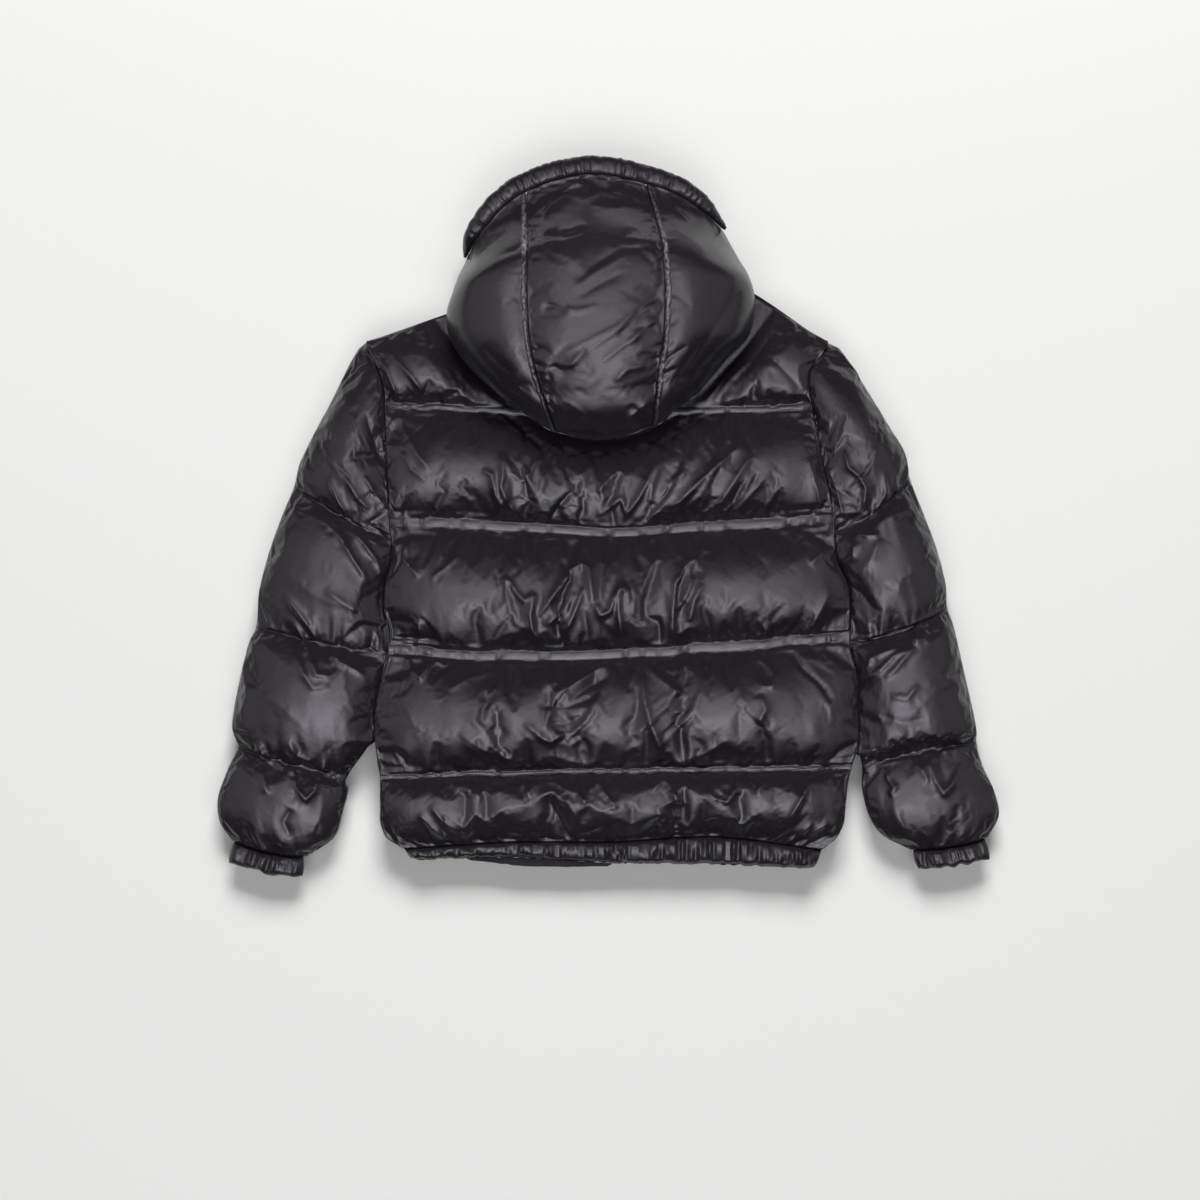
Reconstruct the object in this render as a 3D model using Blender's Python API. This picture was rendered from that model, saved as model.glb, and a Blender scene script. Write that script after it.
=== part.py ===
"""A child's hooded puffer jacket, laid flat on its front with the hood folded over the back.

Metres, +Z up, floor at z = 0. The hood points to +Y, the hem to -Y, and the wearer's left is at -X.
Each cut piece is one closed body. Padded pieces are slabs or tubes worked out from short tables:
a row for each level of the body, each station along a sleeve, each point round the hood's edge.
"""

import bpy
import numpy as np
from mathutils import Color

# Whole garment
MID_Z = 0.020  # height where the back lies on the fronts
SEAM = 0.0003  # clear gap between two pieces at a seam
EDGE_WALL = 0.0018  # thickness of one panel in the side seam
LINE_WALL = 0.0055  # thickness of one panel under a row of quilting

# Back and fronts
BACK_CROWN = 0.027  # rise of a back channel over its quilting lines
FRONT_GROOVE = 0.010  # depth of the grooves between the fronts' channels
BODY_COLUMNS = 16
CHANNEL_ROWS = 4
HOOD_PRESS = 0.85  # how far the hood squashes the yoke under it
HOOD_LOW = 0.052  # height where the hood starts to press on the back

# Quilting lines of the body: height of the line at five places across, and the width of its flat band
LINE_COLUMNS = ("left", "left_mid", "centre", "right_mid", "right", "band")
LINES = {
    "hem": (-0.3310, -0.3245, -0.3240, -0.3190, -0.3320, 0.0),
    "low": (-0.2590, -0.2560, -0.2530, -0.2520, -0.2500, 0.003),
    "waist": (-0.1320, -0.1380, -0.1360, -0.1280, -0.1180, 0.007),
    "chest": (-0.0040, -0.0080, -0.0140, -0.0080, -0.0010, 0.007),
    "yoke": (0.1140, 0.1070, 0.1050, 0.1070, 0.1110, 0.004),
    "shoulder": (0.1780, 0.2120, 0.2220, 0.2350, 0.1760, 0.0),
}

# Side edges of the body: height, then the left and the right edge at that height
EDGE_COLUMNS = ("y", "left", "right")
EDGES = (
    (-0.3330, -0.2010, 0.2120),
    (-0.3220, -0.2200, 0.2262),
    (-0.3090, -0.2275, 0.2345),
    (-0.2880, -0.2290, 0.2375),
    (-0.2590, -0.2290, 0.2410),
    (-0.2370, -0.2325, 0.2480),
    (-0.1870, -0.2325, 0.2495),
    (-0.1530, -0.2255, 0.2485),
    (-0.1250, -0.2195, 0.2420),
    (-0.0890, -0.2245, 0.2415),
    (-0.0680, -0.2235, 0.2395),
    (-0.0390, -0.2175, 0.2285),
    (-0.0110, -0.2180, 0.2260),
    (0.0180, -0.2195, 0.2220),
    (0.0470, -0.2215, 0.2155),
    (0.0930, -0.2225, 0.2070),
    (0.1200, -0.2235, 0.2015),
    (0.1460, -0.2310, 0.2020),
    (0.1620, -0.2400, 0.2120),
    (0.1720, -0.2450, 0.2220),
)

# Zip down the centre front
ZIP_X = (0.0060, -0.0070)  # centre of the chain at the hem and at the neck
ZIP_WIDTH = 0.024
ZIP_CHAIN = 0.006
ZIP_Z = (0.0095, 0.0125)
SLIDER = (0.0095, 0.0140)  # width and length of the slider's body
TAB = (0.0060, 0.0280, 0.0014)

# Elastic hem casing
HEM_DEPTH = 0.0205
HEM_THICK = 0.0100
HEM_BOTTOM = (-0.3430, -0.3400, -0.3455, -0.3470, -0.3515)
HEM_INSET = 0.0060
HEM_ROLL = ((1.0, 0.3), (0.9, 0.75), (0.65, 1.0), (0.3, 1.0), (0.0, 0.62))
FACING_SPAN = (-0.1420, 0.0030)
FACING_REACH = (0.0015, 0.0070, 0.0030)
FACING_THICK = 0.0016

# Sleeves: outer and inner edge of each station, its bow, crown height and how far it is pinched by a seam
SLEEVE_COLUMNS = ("outer_x", "outer_y", "inner_x", "inner_y", "bow", "crown", "pinch")
SLEEVE_LEFT = (
    (-0.2462, 0.1700, -0.2235, 0.0860, -0.006, 0.034, 1.0),
    (-0.2605, 0.1520, -0.2230, 0.0620, -0.002, 0.046, 0.0),
    (-0.2775, 0.1190, -0.2225, 0.0380, 0.000, 0.054, 0.0),
    (-0.2935, 0.0890, -0.2210, 0.0130, 0.000, 0.056, 0.0),
    (-0.3100, 0.0550, -0.2200, -0.0070, 0.000, 0.050, 0.0),
    (-0.3155, 0.0320, -0.2195, -0.0230, 0.003, 0.033, 1.0),
    (-0.3275, 0.0030, -0.2195, -0.0420, 0.000, 0.050, 0.0),
    (-0.3405, -0.0330, -0.2245, -0.0720, 0.000, 0.057, 0.0),
    (-0.3505, -0.0730, -0.2255, -0.1010, 0.000, 0.053, 0.0),
    (-0.3535, -0.1080, -0.2250, -0.1350, 0.004, 0.032, 1.0),
    (-0.3615, -0.1260, -0.2270, -0.1550, 0.000, 0.048, 0.0),
    (-0.3715, -0.1680, -0.2340, -0.1890, 0.000, 0.056, 0.0),
    (-0.3780, -0.2080, -0.2345, -0.2180, 0.000, 0.052, 0.0),
    (-0.3725, -0.2290, -0.2620, -0.2590, 0.003, 0.030, 1.0),
    (-0.3815, -0.2500, -0.2610, -0.2730, 0.000, 0.044, 0.0),
    (-0.3920, -0.2800, -0.2660, -0.2930, 0.000, 0.048, 0.0),
    (-0.3900, -0.3050, -0.2750, -0.3200, 0.000, 0.042, 0.0),
    (-0.3780, -0.3230, -0.3035, -0.3395, 0.004, 0.022, 1.0),
)
SLEEVE_RIGHT = (
    (0.2235, 0.1745, 0.2080, 0.0980, -0.011, 0.034, 1.0),
    (0.2405, 0.1590, 0.2105, 0.0760, -0.004, 0.046, 0.0),
    (0.2600, 0.1320, 0.2150, 0.0520, 0.000, 0.054, 0.0),
    (0.2815, 0.0930, 0.2195, 0.0260, 0.000, 0.056, 0.0),
    (0.2970, 0.0660, 0.2245, 0.0020, 0.000, 0.050, 0.0),
    (0.3025, 0.0400, 0.2275, -0.0180, 0.004, 0.033, 1.0),
    (0.3150, 0.0080, 0.2310, -0.0420, 0.000, 0.050, 0.0),
    (0.3290, -0.0290, 0.2410, -0.0720, 0.000, 0.057, 0.0),
    (0.3385, -0.0650, 0.2430, -0.1000, 0.000, 0.053, 0.0),
    (0.3400, -0.0890, 0.2440, -0.1240, 0.006, 0.032, 1.0),
    (0.3470, -0.1100, 0.2490, -0.1440, 0.000, 0.048, 0.0),
    (0.3580, -0.1580, 0.2510, -0.1820, 0.000, 0.056, 0.0),
    (0.3690, -0.2080, 0.2500, -0.2260, 0.000, 0.052, 0.0),
    (0.3695, -0.2260, 0.2545, -0.2500, -0.004, 0.030, 1.0),
    (0.3755, -0.2480, 0.2545, -0.2730, 0.000, 0.044, 0.0),
    (0.3870, -0.2730, 0.2620, -0.3000, 0.000, 0.048, 0.0),
    (0.3920, -0.2980, 0.2750, -0.3180, 0.000, 0.042, 0.0),
    (0.3805, -0.3205, 0.3030, -0.3325, 0.003, 0.022, 1.0),
)
SLEEVE_MID = 0.0180  # height of a sleeve's two edges
SLEEVE_SLIT = 0.0008  # half height of the flattened hollow
SLIT_SHARE = 0.9  # width of the hollow as a share of the sleeve
PINCH_LIFT = 0.007  # how far a seam lifts the underside
BODY_GAP = {"left": 0.0009, "right": 0.0016}  # between a sleeve's inner edge and the body
RING_HALF = 8  # segments across the top of a sleeve

# Cuffs: where the outer and the inner edge of the casing end
CUFF_LEFT = (-0.3825, -0.3440, -0.3060, -0.3605)
CUFF_RIGHT = (0.3840, -0.3410, 0.3095, -0.3520)
CUFF_CROWN = 0.026
CUFF_ROLL = ((0.0, 0.8), (0.3, 1.0), (0.7, 1.0), (1.0, 0.86))

# Hood: plan edge from the bottom up, left and right, and the bottom and top edges across
HOOD_SIDE_COLUMNS = ("share", "left_x", "left_y", "right_x", "right_y")
HOOD_SIDES = (
    (0.00, -0.0950, 0.1100, 0.0850, 0.1190),
    (0.18, -0.1370, 0.1480, 0.1180, 0.1580),
    (0.36, -0.1570, 0.1760, 0.1390, 0.1800),
    (0.55, -0.1615, 0.2020, 0.1460, 0.2110),
    (0.76, -0.1545, 0.2280, 0.1400, 0.2420),
    (1.00, -0.1425, 0.2600, 0.1160, 0.2880),
)
HOOD_ENDS_COLUMNS = ("share", "bottom_x", "bottom_y", "top_x", "top_y")
HOOD_ENDS = (
    (0.00, -0.0950, 0.1100, -0.1425, 0.2600),
    (0.15, -0.0710, 0.0960, -0.1240, 0.2880),
    (0.32, -0.0450, 0.0820, -0.0870, 0.3220),
    (0.50, -0.0070, 0.0775, -0.0250, 0.3410),
    (0.68, 0.0330, 0.0830, 0.0320, 0.3330),
    (0.85, 0.0570, 0.1010, 0.0780, 0.3160),
    (1.00, 0.0850, 0.1190, 0.1160, 0.2880),
)
HOOD_SEAMS = (0.335, 0.665)  # share across where the centre panel starts and ends
HOOD_HEIGHT = 0.100  # crown of the hood over the floor
HOOD_MOUTH = 0.052  # height of the hood just under its casing
HOOD_EDGE = 0.038  # height of its rim over the yoke
HOOD_STEP = 0.250  # where its rim comes down past the neck
HOOD_FOOT = 0.010  # height of its rim past the neck
HOOD_WALL = 0.007
HOOD_LIP = 0.003  # thickness of its wall at the rim
HOOD_SEAM_SHARE = 0.0045  # gap between two panels of the hood, as a share across
UNDER_GAP = 0.0022  # between the hood's wall and the folded layers
UNDER_BASE = 0.0303  # height of the folded layers' underside over the yoke
HOOD_ROWS = 10
HOOD_COLUMNS = 18
CASING_WIDTH = 0.0200
CASING_THICK = 0.0150
CASING_STATIONS = 20
CASING_RING = 10

NYLON = ("black_nylon", (0.024, 0.021, 0.025), 0.32)
MATTE = ("black_facing", (0.020, 0.019, 0.021), 0.80)
ZIP = ("black_zip", (0.014, 0.014, 0.015), 0.45)


def columns(table, names, name):
    """One named column of a table."""
    return np.array([row[names.index(name)] for row in table], dtype=float)


def smooth(at, places, values):
    """Catmull-Rom curve through a column of values."""
    at = np.clip(np.asarray(at, dtype=float), places[0], places[-1])
    slope = np.gradient(values, places)
    k = np.clip(np.searchsorted(places, at, side="right") - 1, 0, len(places) - 2)
    width = places[k + 1] - places[k]
    t = (at - places[k]) / width
    rise = (2 * t**3 - 3 * t**2 + 1) * values[k] + (3 * t**2 - 2 * t**3) * values[k + 1]
    lean = (t**3 - 2 * t**2 + t) * slope[k] + (t**3 - t**2) * slope[k + 1]
    return rise + width * lean


def material(finish):
    """The Principled material of one finish, made once."""
    name, colour, roughness = finish
    found = bpy.data.materials.get(name)
    if found:
        return found
    made = bpy.data.materials.new(name)
    made.use_nodes = True
    shader = made.node_tree.nodes["Principled BSDF"]
    shader.inputs["Base Color"].default_value = (*Color(colour), 1.0)
    shader.inputs["Roughness"].default_value = roughness
    return made


def volume(points, faces):
    """Six times the signed volume inside some faces."""
    total = 0.0
    for face in faces:
        a = points[face[0]]
        for b, c in zip(face[1:-1], face[2:]):
            total += float(np.dot(a, np.cross(points[b], points[c])))
    return total


def add(name, points, faces, finish):
    """One object from points and faces, turned to face out."""
    if volume(points, faces) < 0:
        faces = [face[::-1] for face in faces]
    mesh = bpy.data.meshes.new(name)
    mesh.from_pydata([tuple(p) for p in points], [], faces)
    mesh.validate()
    mesh.materials.append(material(finish))
    made = bpy.data.objects.new(name, mesh)
    bpy.context.scene.collection.objects.link(made)
    return made


def slab(name, top, bottom, finish):
    """A closed slab between two grids of the same size; rows run to +Y and columns to +X."""
    rows, cols = top.shape[:2]
    points = np.concatenate([top.reshape(-1, 3), bottom.reshape(-1, 3)])
    low = rows * cols
    faces = []
    for r in range(rows - 1):
        for c in range(cols - 1):
            a, b = r * cols + c, r * cols + c + 1
            d, e = a + cols, b + cols
            faces.append((a, b, e, d))
            faces.append((low + a, low + d, low + e, low + b))
    ring = [c for c in range(cols)]
    ring += [r * cols + cols - 1 for r in range(1, rows)]
    ring += [(rows - 1) * cols + c for c in range(cols - 2, -1, -1)]
    ring += [r * cols for r in range(rows - 2, 0, -1)]
    for i, a in enumerate(ring):
        b = ring[(i + 1) % len(ring)]
        faces.append((a, low + a, low + b, b))
    return add(name, points, faces, finish)


def loft(name, rings, finish, hollow=None):
    """A closed body through rings, or a tube between outer rings and the rings of its hollow."""
    count, around = rings.shape[:2]
    points = [rings.reshape(-1, 3)]
    faces = []
    for r in range(count - 1):
        for k in range(around):
            n = (k + 1) % around
            a, b = r * around + k, r * around + n
            faces.append((a, b, b + around, a + around))
    last = (count - 1) * around
    if hollow is None:
        faces.append(tuple(range(around - 1, -1, -1)))
        faces.append(tuple(last + k for k in range(around)))
        return add(name, np.concatenate(points), faces, finish)
    points.append(hollow.reshape(-1, 3))
    base = count * around
    for r in range(count - 1):
        for k in range(around):
            n = (k + 1) % around
            a, b = base + r * around + k, base + r * around + n
            faces.append((a, a + around, b + around, b))
    for k in range(around):
        n = (k + 1) % around
        faces.append((k, base + k, base + n, n))
        faces.append((last + k, last + n, base + last + n, base + last + k))
    return add(name, np.concatenate(points), faces, finish)


def puff(share):
    """Rise of a channel from one quilting line (0) to the next (1), fuller on its lower half."""
    return np.sin(np.pi * np.clip(share, 0, 1) ** 0.92) ** 0.62


def across(u):
    """Rise of a panel from its side seam (0 or 1) to its middle."""
    return (1 - np.abs(2 * np.clip(u, 0, 1) - 1) ** 7) ** 0.5


def line_height(name, u):
    """Height of a quilting line at a share of the way across."""
    return smooth(u, np.array([0, 0.25, 0.5, 0.75, 1.0]), np.array(LINES[name][:5]))


def band(name):
    """Width of the flat band along a quilting line."""
    return LINES[name][LINE_COLUMNS.index("band")]


def edge_x(y, side):
    """Side edge of the body at a height."""
    return np.interp(y, columns(EDGES, EDGE_COLUMNS, "y"), columns(EDGES, EDGE_COLUMNS, side))


def body_levels():
    """Each row of the body: the line below, the line above, the share between them."""
    names = list(LINES)
    levels = []
    for below, above in zip(names, names[1:]):
        steps = np.linspace(0, 1, CHANNEL_ROWS + 1)
        levels += [(below, above, s) for s in steps]
    return levels


def body_grid(shares):
    """Plan position of each row and column of the body, with the rise of the channel there."""
    plan, rise = [], []
    for below, above, s in body_levels():
        start = line_height(below, shares) + band(below) / 2
        end = line_height(above, shares) - band(above) / 2
        y = start + (end - start) * s + (0.0004 if below != "hem" and s == 0 else 0.0)
        y_left = line_height(below, 0.0) * (1 - s) + line_height(above, 0.0) * s
        y_right = line_height(below, 1.0) * (1 - s) + line_height(above, 1.0) * s
        left, right = edge_x(y_left, "left"), edge_x(y_right, "right")
        x = left + (right - left) * shares
        plan.append(np.stack([x, y], axis=-1))
        rise.append(np.full(len(shares), puff(s)))
    return np.array(plan), np.array(rise)


def column_shares(count):
    """Shares across a panel, closer together near its side seams."""
    even = np.linspace(-1, 1, count + 1)
    return (np.sin(even * np.pi / 2) * 0.5 + even * 0.5 + 1) / 2


def build_back():
    """Padded back, lying on the fronts."""
    u = column_shares(BODY_COLUMNS)
    plan, rise = body_grid(u)
    reach = HOOD_LOW + ((plan[..., 0] + 0.008) / 0.150) ** 2 * 0.085
    hood = 1 / (1 + np.exp(-((plan[..., 1] - reach) / 0.005).clip(-30, 30)))
    crown = BACK_CROWN * rise * across(u)[None, :] * (1 - HOOD_PRESS * hood)
    wall = EDGE_WALL + (LINE_WALL - EDGE_WALL) * across(u)[None, :]
    top = np.dstack([plan, MID_Z + SEAM / 2 + wall + crown])
    bottom = np.dstack([plan, np.full(plan.shape[:2], MID_Z + SEAM / 2)])
    slab("back", top, bottom, NYLON)


def zip_x(y):
    """Centre of the zip at a height."""
    low, high = LINES["hem"][2] - HEM_DEPTH, LINES["shoulder"][2]
    return np.interp(y, (low, high), ZIP_X)


def front_grid(left):
    """Plan, shares across the whole body and shares across the panel of one front."""
    half = np.linspace(0, 1, BODY_COLUMNS // 2 + 1)
    half = np.sin(half * np.pi / 2) * 0.5 + half * 0.5
    part = half if left else half[::-1]
    shares = 0.5 * half if left else 1 - 0.5 * half[::-1]
    plan, _ = body_grid(shares)
    side = plan[:, 0, 0] if left else plan[:, -1, 0]
    edge = zip_x(plan[..., 1]) + (-1 if left else 1) * (ZIP_WIDTH / 2 + 2 * SEAM)
    plan[..., 0] = side[:, None] * (1 - part) + edge * part
    return plan, shares, part[None, :]


def build_front(name, left):
    """One padded front from its side seam to the zip, flat where its channels rest."""
    plan, shares, part = front_grid(left)
    rise = body_grid(shares)[1]
    inner = (1 - (1 - np.minimum(part, 1 - part) * 4).clip(0) ** 3) ** 0.5
    depth = MID_Z - SEAM / 2 - FRONT_GROOVE
    wall = EDGE_WALL + (depth - EDGE_WALL) * inner + FRONT_GROOVE * np.minimum(1.25 * rise, 1) * inner
    top = np.dstack([plan, np.full(plan.shape[:2], MID_Z - SEAM / 2)])
    bottom = np.dstack([plan, MID_Z - SEAM / 2 - wall])
    slab(name, top, bottom, NYLON)


def build_zip():
    """Closed zip between the fronts: tapes and chain in one, and the slider at the neck."""
    y = np.linspace(LINES["hem"][2] - HEM_DEPTH + 0.004, LINES["shoulder"][2] - 0.012, 7)
    x = zip_x(y)
    half, chain = ZIP_WIDTH / 2, ZIP_CHAIN / 2
    low, high = ZIP_Z
    profile = (
        (-half, high - 0.001),
        (-chain, high - 0.001),
        (-chain, low),
        (chain, low),
        (chain, high - 0.001),
        (half, high - 0.001),
        (half, high),
        (-half, high),
    )
    rings = np.array([[(cx + px, cy, pz) for px, pz in profile[::-1]] for cx, cy in zip(x, y)])
    loft("zip_chain", rings, ZIP)
    top = float(y[-1]) - 0.012
    wide, long = SLIDER
    tab_wide, tab_long, tab_thick = TAB
    cx = float(zip_x(top))
    z = low - SEAM
    outline = (
        (-wide / 2, top),
        (-wide / 2, top - long * 0.6),
        (-tab_wide / 2, top - long),
        (-tab_wide / 2, top - long - tab_long),
        (tab_wide / 2, top - long - tab_long),
        (tab_wide / 2, top - long),
        (wide / 2, top - long * 0.6),
        (wide / 2, top),
    )
    rings = np.array([[(cx + px, py, pz) for px, py in outline] for pz in (z - 2 * tab_thick, z)])
    loft("zip_slider", rings, ZIP)


def hem_strip(name, line, low_shares, upper):
    """One stretch of the elastic hem casing below a panel's lowest row, rolled over at its edge."""
    fifths = np.array([0, 0.25, 0.5, 0.75, 1.0])
    low = smooth(low_shares, fifths, np.array(HEM_BOTTOM))
    inset = np.interp(low_shares, (0, 0.05, 0.95, 1), (HEM_INSET, 0.001, -0.001, -HEM_INSET))
    ends = np.interp(low_shares, (0, 0.03, 0.97, 1), (0.3, 1, 1, 0.3))
    flat = np.full(len(low), MID_Z + (SEAM / 2 if upper else -SEAM / 2))
    top, bottom = [], []
    for down, rise in HEM_ROLL:
        x = line[:, 0] + inset * down
        y = line[:, 1] - SEAM + (low - line[:, 1] + SEAM) * down
        far = flat + (1 if upper else -1) * HEM_THICK * rise * ends
        top.append(np.stack([x, y, far if upper else flat], axis=-1))
        bottom.append(np.stack([x, y, flat if upper else far], axis=-1))
    slab(name, np.array(top), np.array(bottom), NYLON)


def build_hem():
    """Hem casing of the back and fronts, and the facing that shows below it."""
    shares = column_shares(BODY_COLUMNS)
    hem_strip("hem_back", body_grid(shares)[0][0], shares, True)
    for name, left in (("hem_front_left", True), ("hem_front_right", False)):
        plan, shares, _ = front_grid(left)
        hem_strip(name, plan[0], shares, False)
    plan, shares, _ = front_grid(True)
    low = smooth(shares, np.array([0, 0.25, 0.5, 0.75, 1.0]), np.array(HEM_BOTTOM))
    inset = np.interp(shares, (0, 0.05, 0.95), (HEM_INSET, 0.001, -0.001))
    shares = np.linspace(0, 1, 9)
    x = FACING_SPAN[0] + (FACING_SPAN[1] - FACING_SPAN[0]) * shares
    edge = np.interp(x, plan[0, :, 0] + inset, low) - 3 * SEAM
    reach = np.interp(shares, (0, 0.3, 1), FACING_REACH)
    rows = np.array([edge - reach, edge - reach / 2, edge])
    plan = np.dstack([np.broadcast_to(x, rows.shape), rows])
    high = np.full(rows.shape, MID_Z + FACING_THICK / 2)
    slab("hem_facing", np.dstack([plan, high]), np.dstack([plan, high - FACING_THICK]), MATTE)


def section(outer, inner, bow, crown, pinch):
    """Ring round a flattened sleeve, and the ring of the hollow inside it."""
    outer, inner = np.array(outer), np.array(inner)
    side = (inner - outer) / np.linalg.norm(inner - outer)
    away = np.sign(side[0]) * np.array([side[1], -side[0]])
    angle = np.linspace(0, np.pi, RING_HALF + 1)
    a = -np.cos(angle)
    middle, half = (outer + inner) / 2, (inner - outer) / 2
    bend = bow * (1 - a[:, None] ** 2) * away
    plan = middle + a[:, None] * half + bend
    hollow = middle + a[:, None] * half * SLIT_SHARE + bend
    top = SLEEVE_MID + (crown - SLEEVE_MID) * (1 - np.abs(a) ** 2.6) ** 0.55
    flat = np.minimum(1.04 * (1 - np.abs(a) ** 5) ** 0.5, 1)
    low = SLEEVE_MID - (SLEEVE_MID - pinch * PINCH_LIFT) * flat
    gap = SLEEVE_SLIT * (1 - a**2) + 0.0002
    halves = ((plan, top, low), (hollow, SLEEVE_MID + gap, SLEEVE_MID - gap))
    rings = []
    for place, upper, lower in halves:
        under = np.column_stack([place, lower])[-2:0:-1]
        rings.append(np.concatenate([np.column_stack([place, upper]), under]))
    return rings


def clear_of_body(stations, side):
    """The stations with each inner end that lies along the body moved just clear of it."""
    out = -1 if side == "left" else 1
    moved = []
    for row in stations:
        limit = float(edge_x(row[3], side)) + out * BODY_GAP[side]
        inner = limit if out * (limit - row[2]) > -0.004 else row[2]
        moved.append((*row[:2], inner, *row[3:]))
    return moved


def build_tube(name, stations):
    """A flattened tube through its stations."""
    rings, hollows = [], []
    for outer_x, outer_y, inner_x, inner_y, bow, crown, pinch in stations:
        ring, hollow = section((outer_x, outer_y), (inner_x, inner_y), bow, crown, pinch)
        rings.append(ring)
        hollows.append(hollow)
    loft(name, np.array(rings), NYLON, hollow=np.array(hollows))


def build_cuff(name, sleeve, end):
    """Elastic cuff casing past the last station of a sleeve."""
    last = np.array(sleeve[-1])
    inset = np.array((0.02, 0.02, -0.02, -0.02)) * np.resize(last[2:4] - last[0:2], 4)
    away = np.resize((np.array(end[0:2]) + end[2:4] - last[0:2] - last[2:4]) / 2, 4)
    away /= np.linalg.norm(away[:2])
    start = last[:4] + inset + away * 2 * SEAM
    stations = []
    for s, crown in CUFF_ROLL:
        spot = start + (np.array(end) - start) * s
        stations.append((*spot, last[4], CUFF_CROWN * crown, 0.5))
    build_tube(name, stations)


def hood_plan(s, t):
    """Plan position on the hood at shares across and up: the patch between its four edges."""
    share = columns(HOOD_SIDES, HOOD_SIDE_COLUMNS, "share")
    ends = columns(HOOD_ENDS, HOOD_ENDS_COLUMNS, "share")
    side = {n: smooth(t, share, columns(HOOD_SIDES, HOOD_SIDE_COLUMNS, n)) for n in HOOD_SIDE_COLUMNS[1:]}
    end = {n: smooth(s, ends, columns(HOOD_ENDS, HOOD_ENDS_COLUMNS, n)) for n in HOOD_ENDS_COLUMNS[1:]}
    plan = []
    for axis in ("x", "y"):
        first, last = HOOD_SIDES[0], HOOD_SIDES[-1]
        at = 0 if axis == "x" else 1
        corner = (first[1 + at], first[3 + at], last[1 + at], last[3 + at])
        rows = side["left_" + axis] * (1 - s) + side["right_" + axis] * s
        cols = end["bottom_" + axis] * (1 - t) + end["top_" + axis] * t
        both = (corner[0] * (1 - s) + corner[1] * s) * (1 - t) + (corner[2] * (1 - s) + corner[3] * s) * t
        plan.append(rows + cols - both)
    return np.stack(plan, axis=-1)


def hood_surface(s, t, inset=0.0):
    """Outer surface of the hood, or a surface a wall's thickness inside it."""
    plan = hood_plan(s, t)
    centre = hood_plan(np.full_like(s, 0.5), np.full_like(t, 0.5))
    over = 1 / (1 + np.exp((plan[..., 1] - HOOD_STEP) / 0.005))
    rim = HOOD_FOOT + (HOOD_EDGE - HOOD_FOOT) * over
    side = (1 - np.abs(2 * s - 1) ** 3.2) ** 0.55
    rise = np.interp(t, (0, 0.05, 0.15, 0.35, 0.6, 1.0), (0.0, 0.42, 0.72, 1.0, 0.93, 0.0))
    top = rim + (HOOD_HEIGHT - rim) * side * rise
    mouth = rim + (HOOD_MOUTH - rim) * side
    z = np.where(t > 0.6, np.maximum(mouth, mouth + (top - mouth) * np.cos((t - 0.6) / 0.8 * np.pi) ** 2), top)
    if inset:
        away = plan - centre
        length = np.linalg.norm(away, axis=-1, keepdims=True).clip(1e-6)
        plan = plan - away / length * inset * np.clip(length / 0.09, 0, 1)
        z = np.maximum(z - inset, rim)
    else:
        z = np.maximum(z, rim + HOOD_LIP)
    return np.dstack([plan, z])


def build_hood_panel(name, start, end, cols):
    """One padded panel of the hood, curved over the hidden layers."""
    s, t = np.meshgrid(np.linspace(start, end, cols + 1), np.linspace(0, 1, HOOD_ROWS + 1))
    outer = hood_surface(s, t)
    inner = hood_surface(s, t, HOOD_WALL)
    slab(name, outer, inner, NYLON)


def build_casing():
    """Elastic casing round the hood's face edge, a flattened tube swept along the mouth."""
    s = np.linspace(0, 1, CASING_STATIONS + 1)
    mouth = hood_surface(s[None, :], np.ones((1, len(s))))[0]
    run = np.gradient(mouth[:, :2], axis=0)
    run /= np.linalg.norm(run, axis=1, keepdims=True)
    out = np.column_stack([-run[:, 1], run[:, 0]])
    angle = np.linspace(0, 2 * np.pi, CASING_RING, endpoint=False)
    end = np.abs(2 * s - 1)
    wide = CASING_WIDTH / 2 * (1 - 0.30 * end**3 - 0.40 * end**12)[:, None]
    thick = CASING_THICK / 2
    middle = mouth[:, :2] + out * (wide + SEAM * (5 * end**4 - 2)[:, None])
    height = np.maximum(mouth[:, 2] - HOOD_WALL / 2, thick + 0.0005)
    plan = middle[:, None, :] + out[:, None, :] * wide[:, :, None] * np.cos(angle)[None, :, None]
    z = height[:, None] + thick * np.sin(angle)[None, :]
    loft("hood_casing", np.dstack([plan, z]), NYLON)


def build_under():
    """Hidden layers of the folded hood and the neck, one rounded solid on the yoke and the floor."""
    rows = np.concatenate([(0.04, 0.10), np.linspace(0.2, 0.985, HOOD_ROWS - 1)])
    s, t = np.meshgrid(np.linspace(0.05, 0.95, 17), rows)
    arch = hood_surface(s, t, HOOD_WALL + UNDER_GAP)
    over = 1 / (1 + np.exp(((arch[..., 1] - HOOD_STEP) / 0.004).clip(-30, 30)))
    base = arch[:, ::-1].copy()
    base[..., 2] = UNDER_BASE * over[:, ::-1]
    arch[..., 2] = np.maximum(arch[..., 2], UNDER_BASE * over + 0.004)
    loft("hood_under", np.concatenate([arch, base], axis=1), NYLON)


def build_hood():
    """Three panels, the casing round the face edge and the layers folded under them."""
    build_hood_panel("hood_side_left", 0.0, HOOD_SEAMS[0] - HOOD_SEAM_SHARE, 6)
    build_hood_panel("hood_centre", HOOD_SEAMS[0], HOOD_SEAMS[1], 6)
    build_hood_panel("hood_side_right", HOOD_SEAMS[1] + HOOD_SEAM_SHARE, 1.0, 6)
    build_casing()
    build_under()


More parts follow.
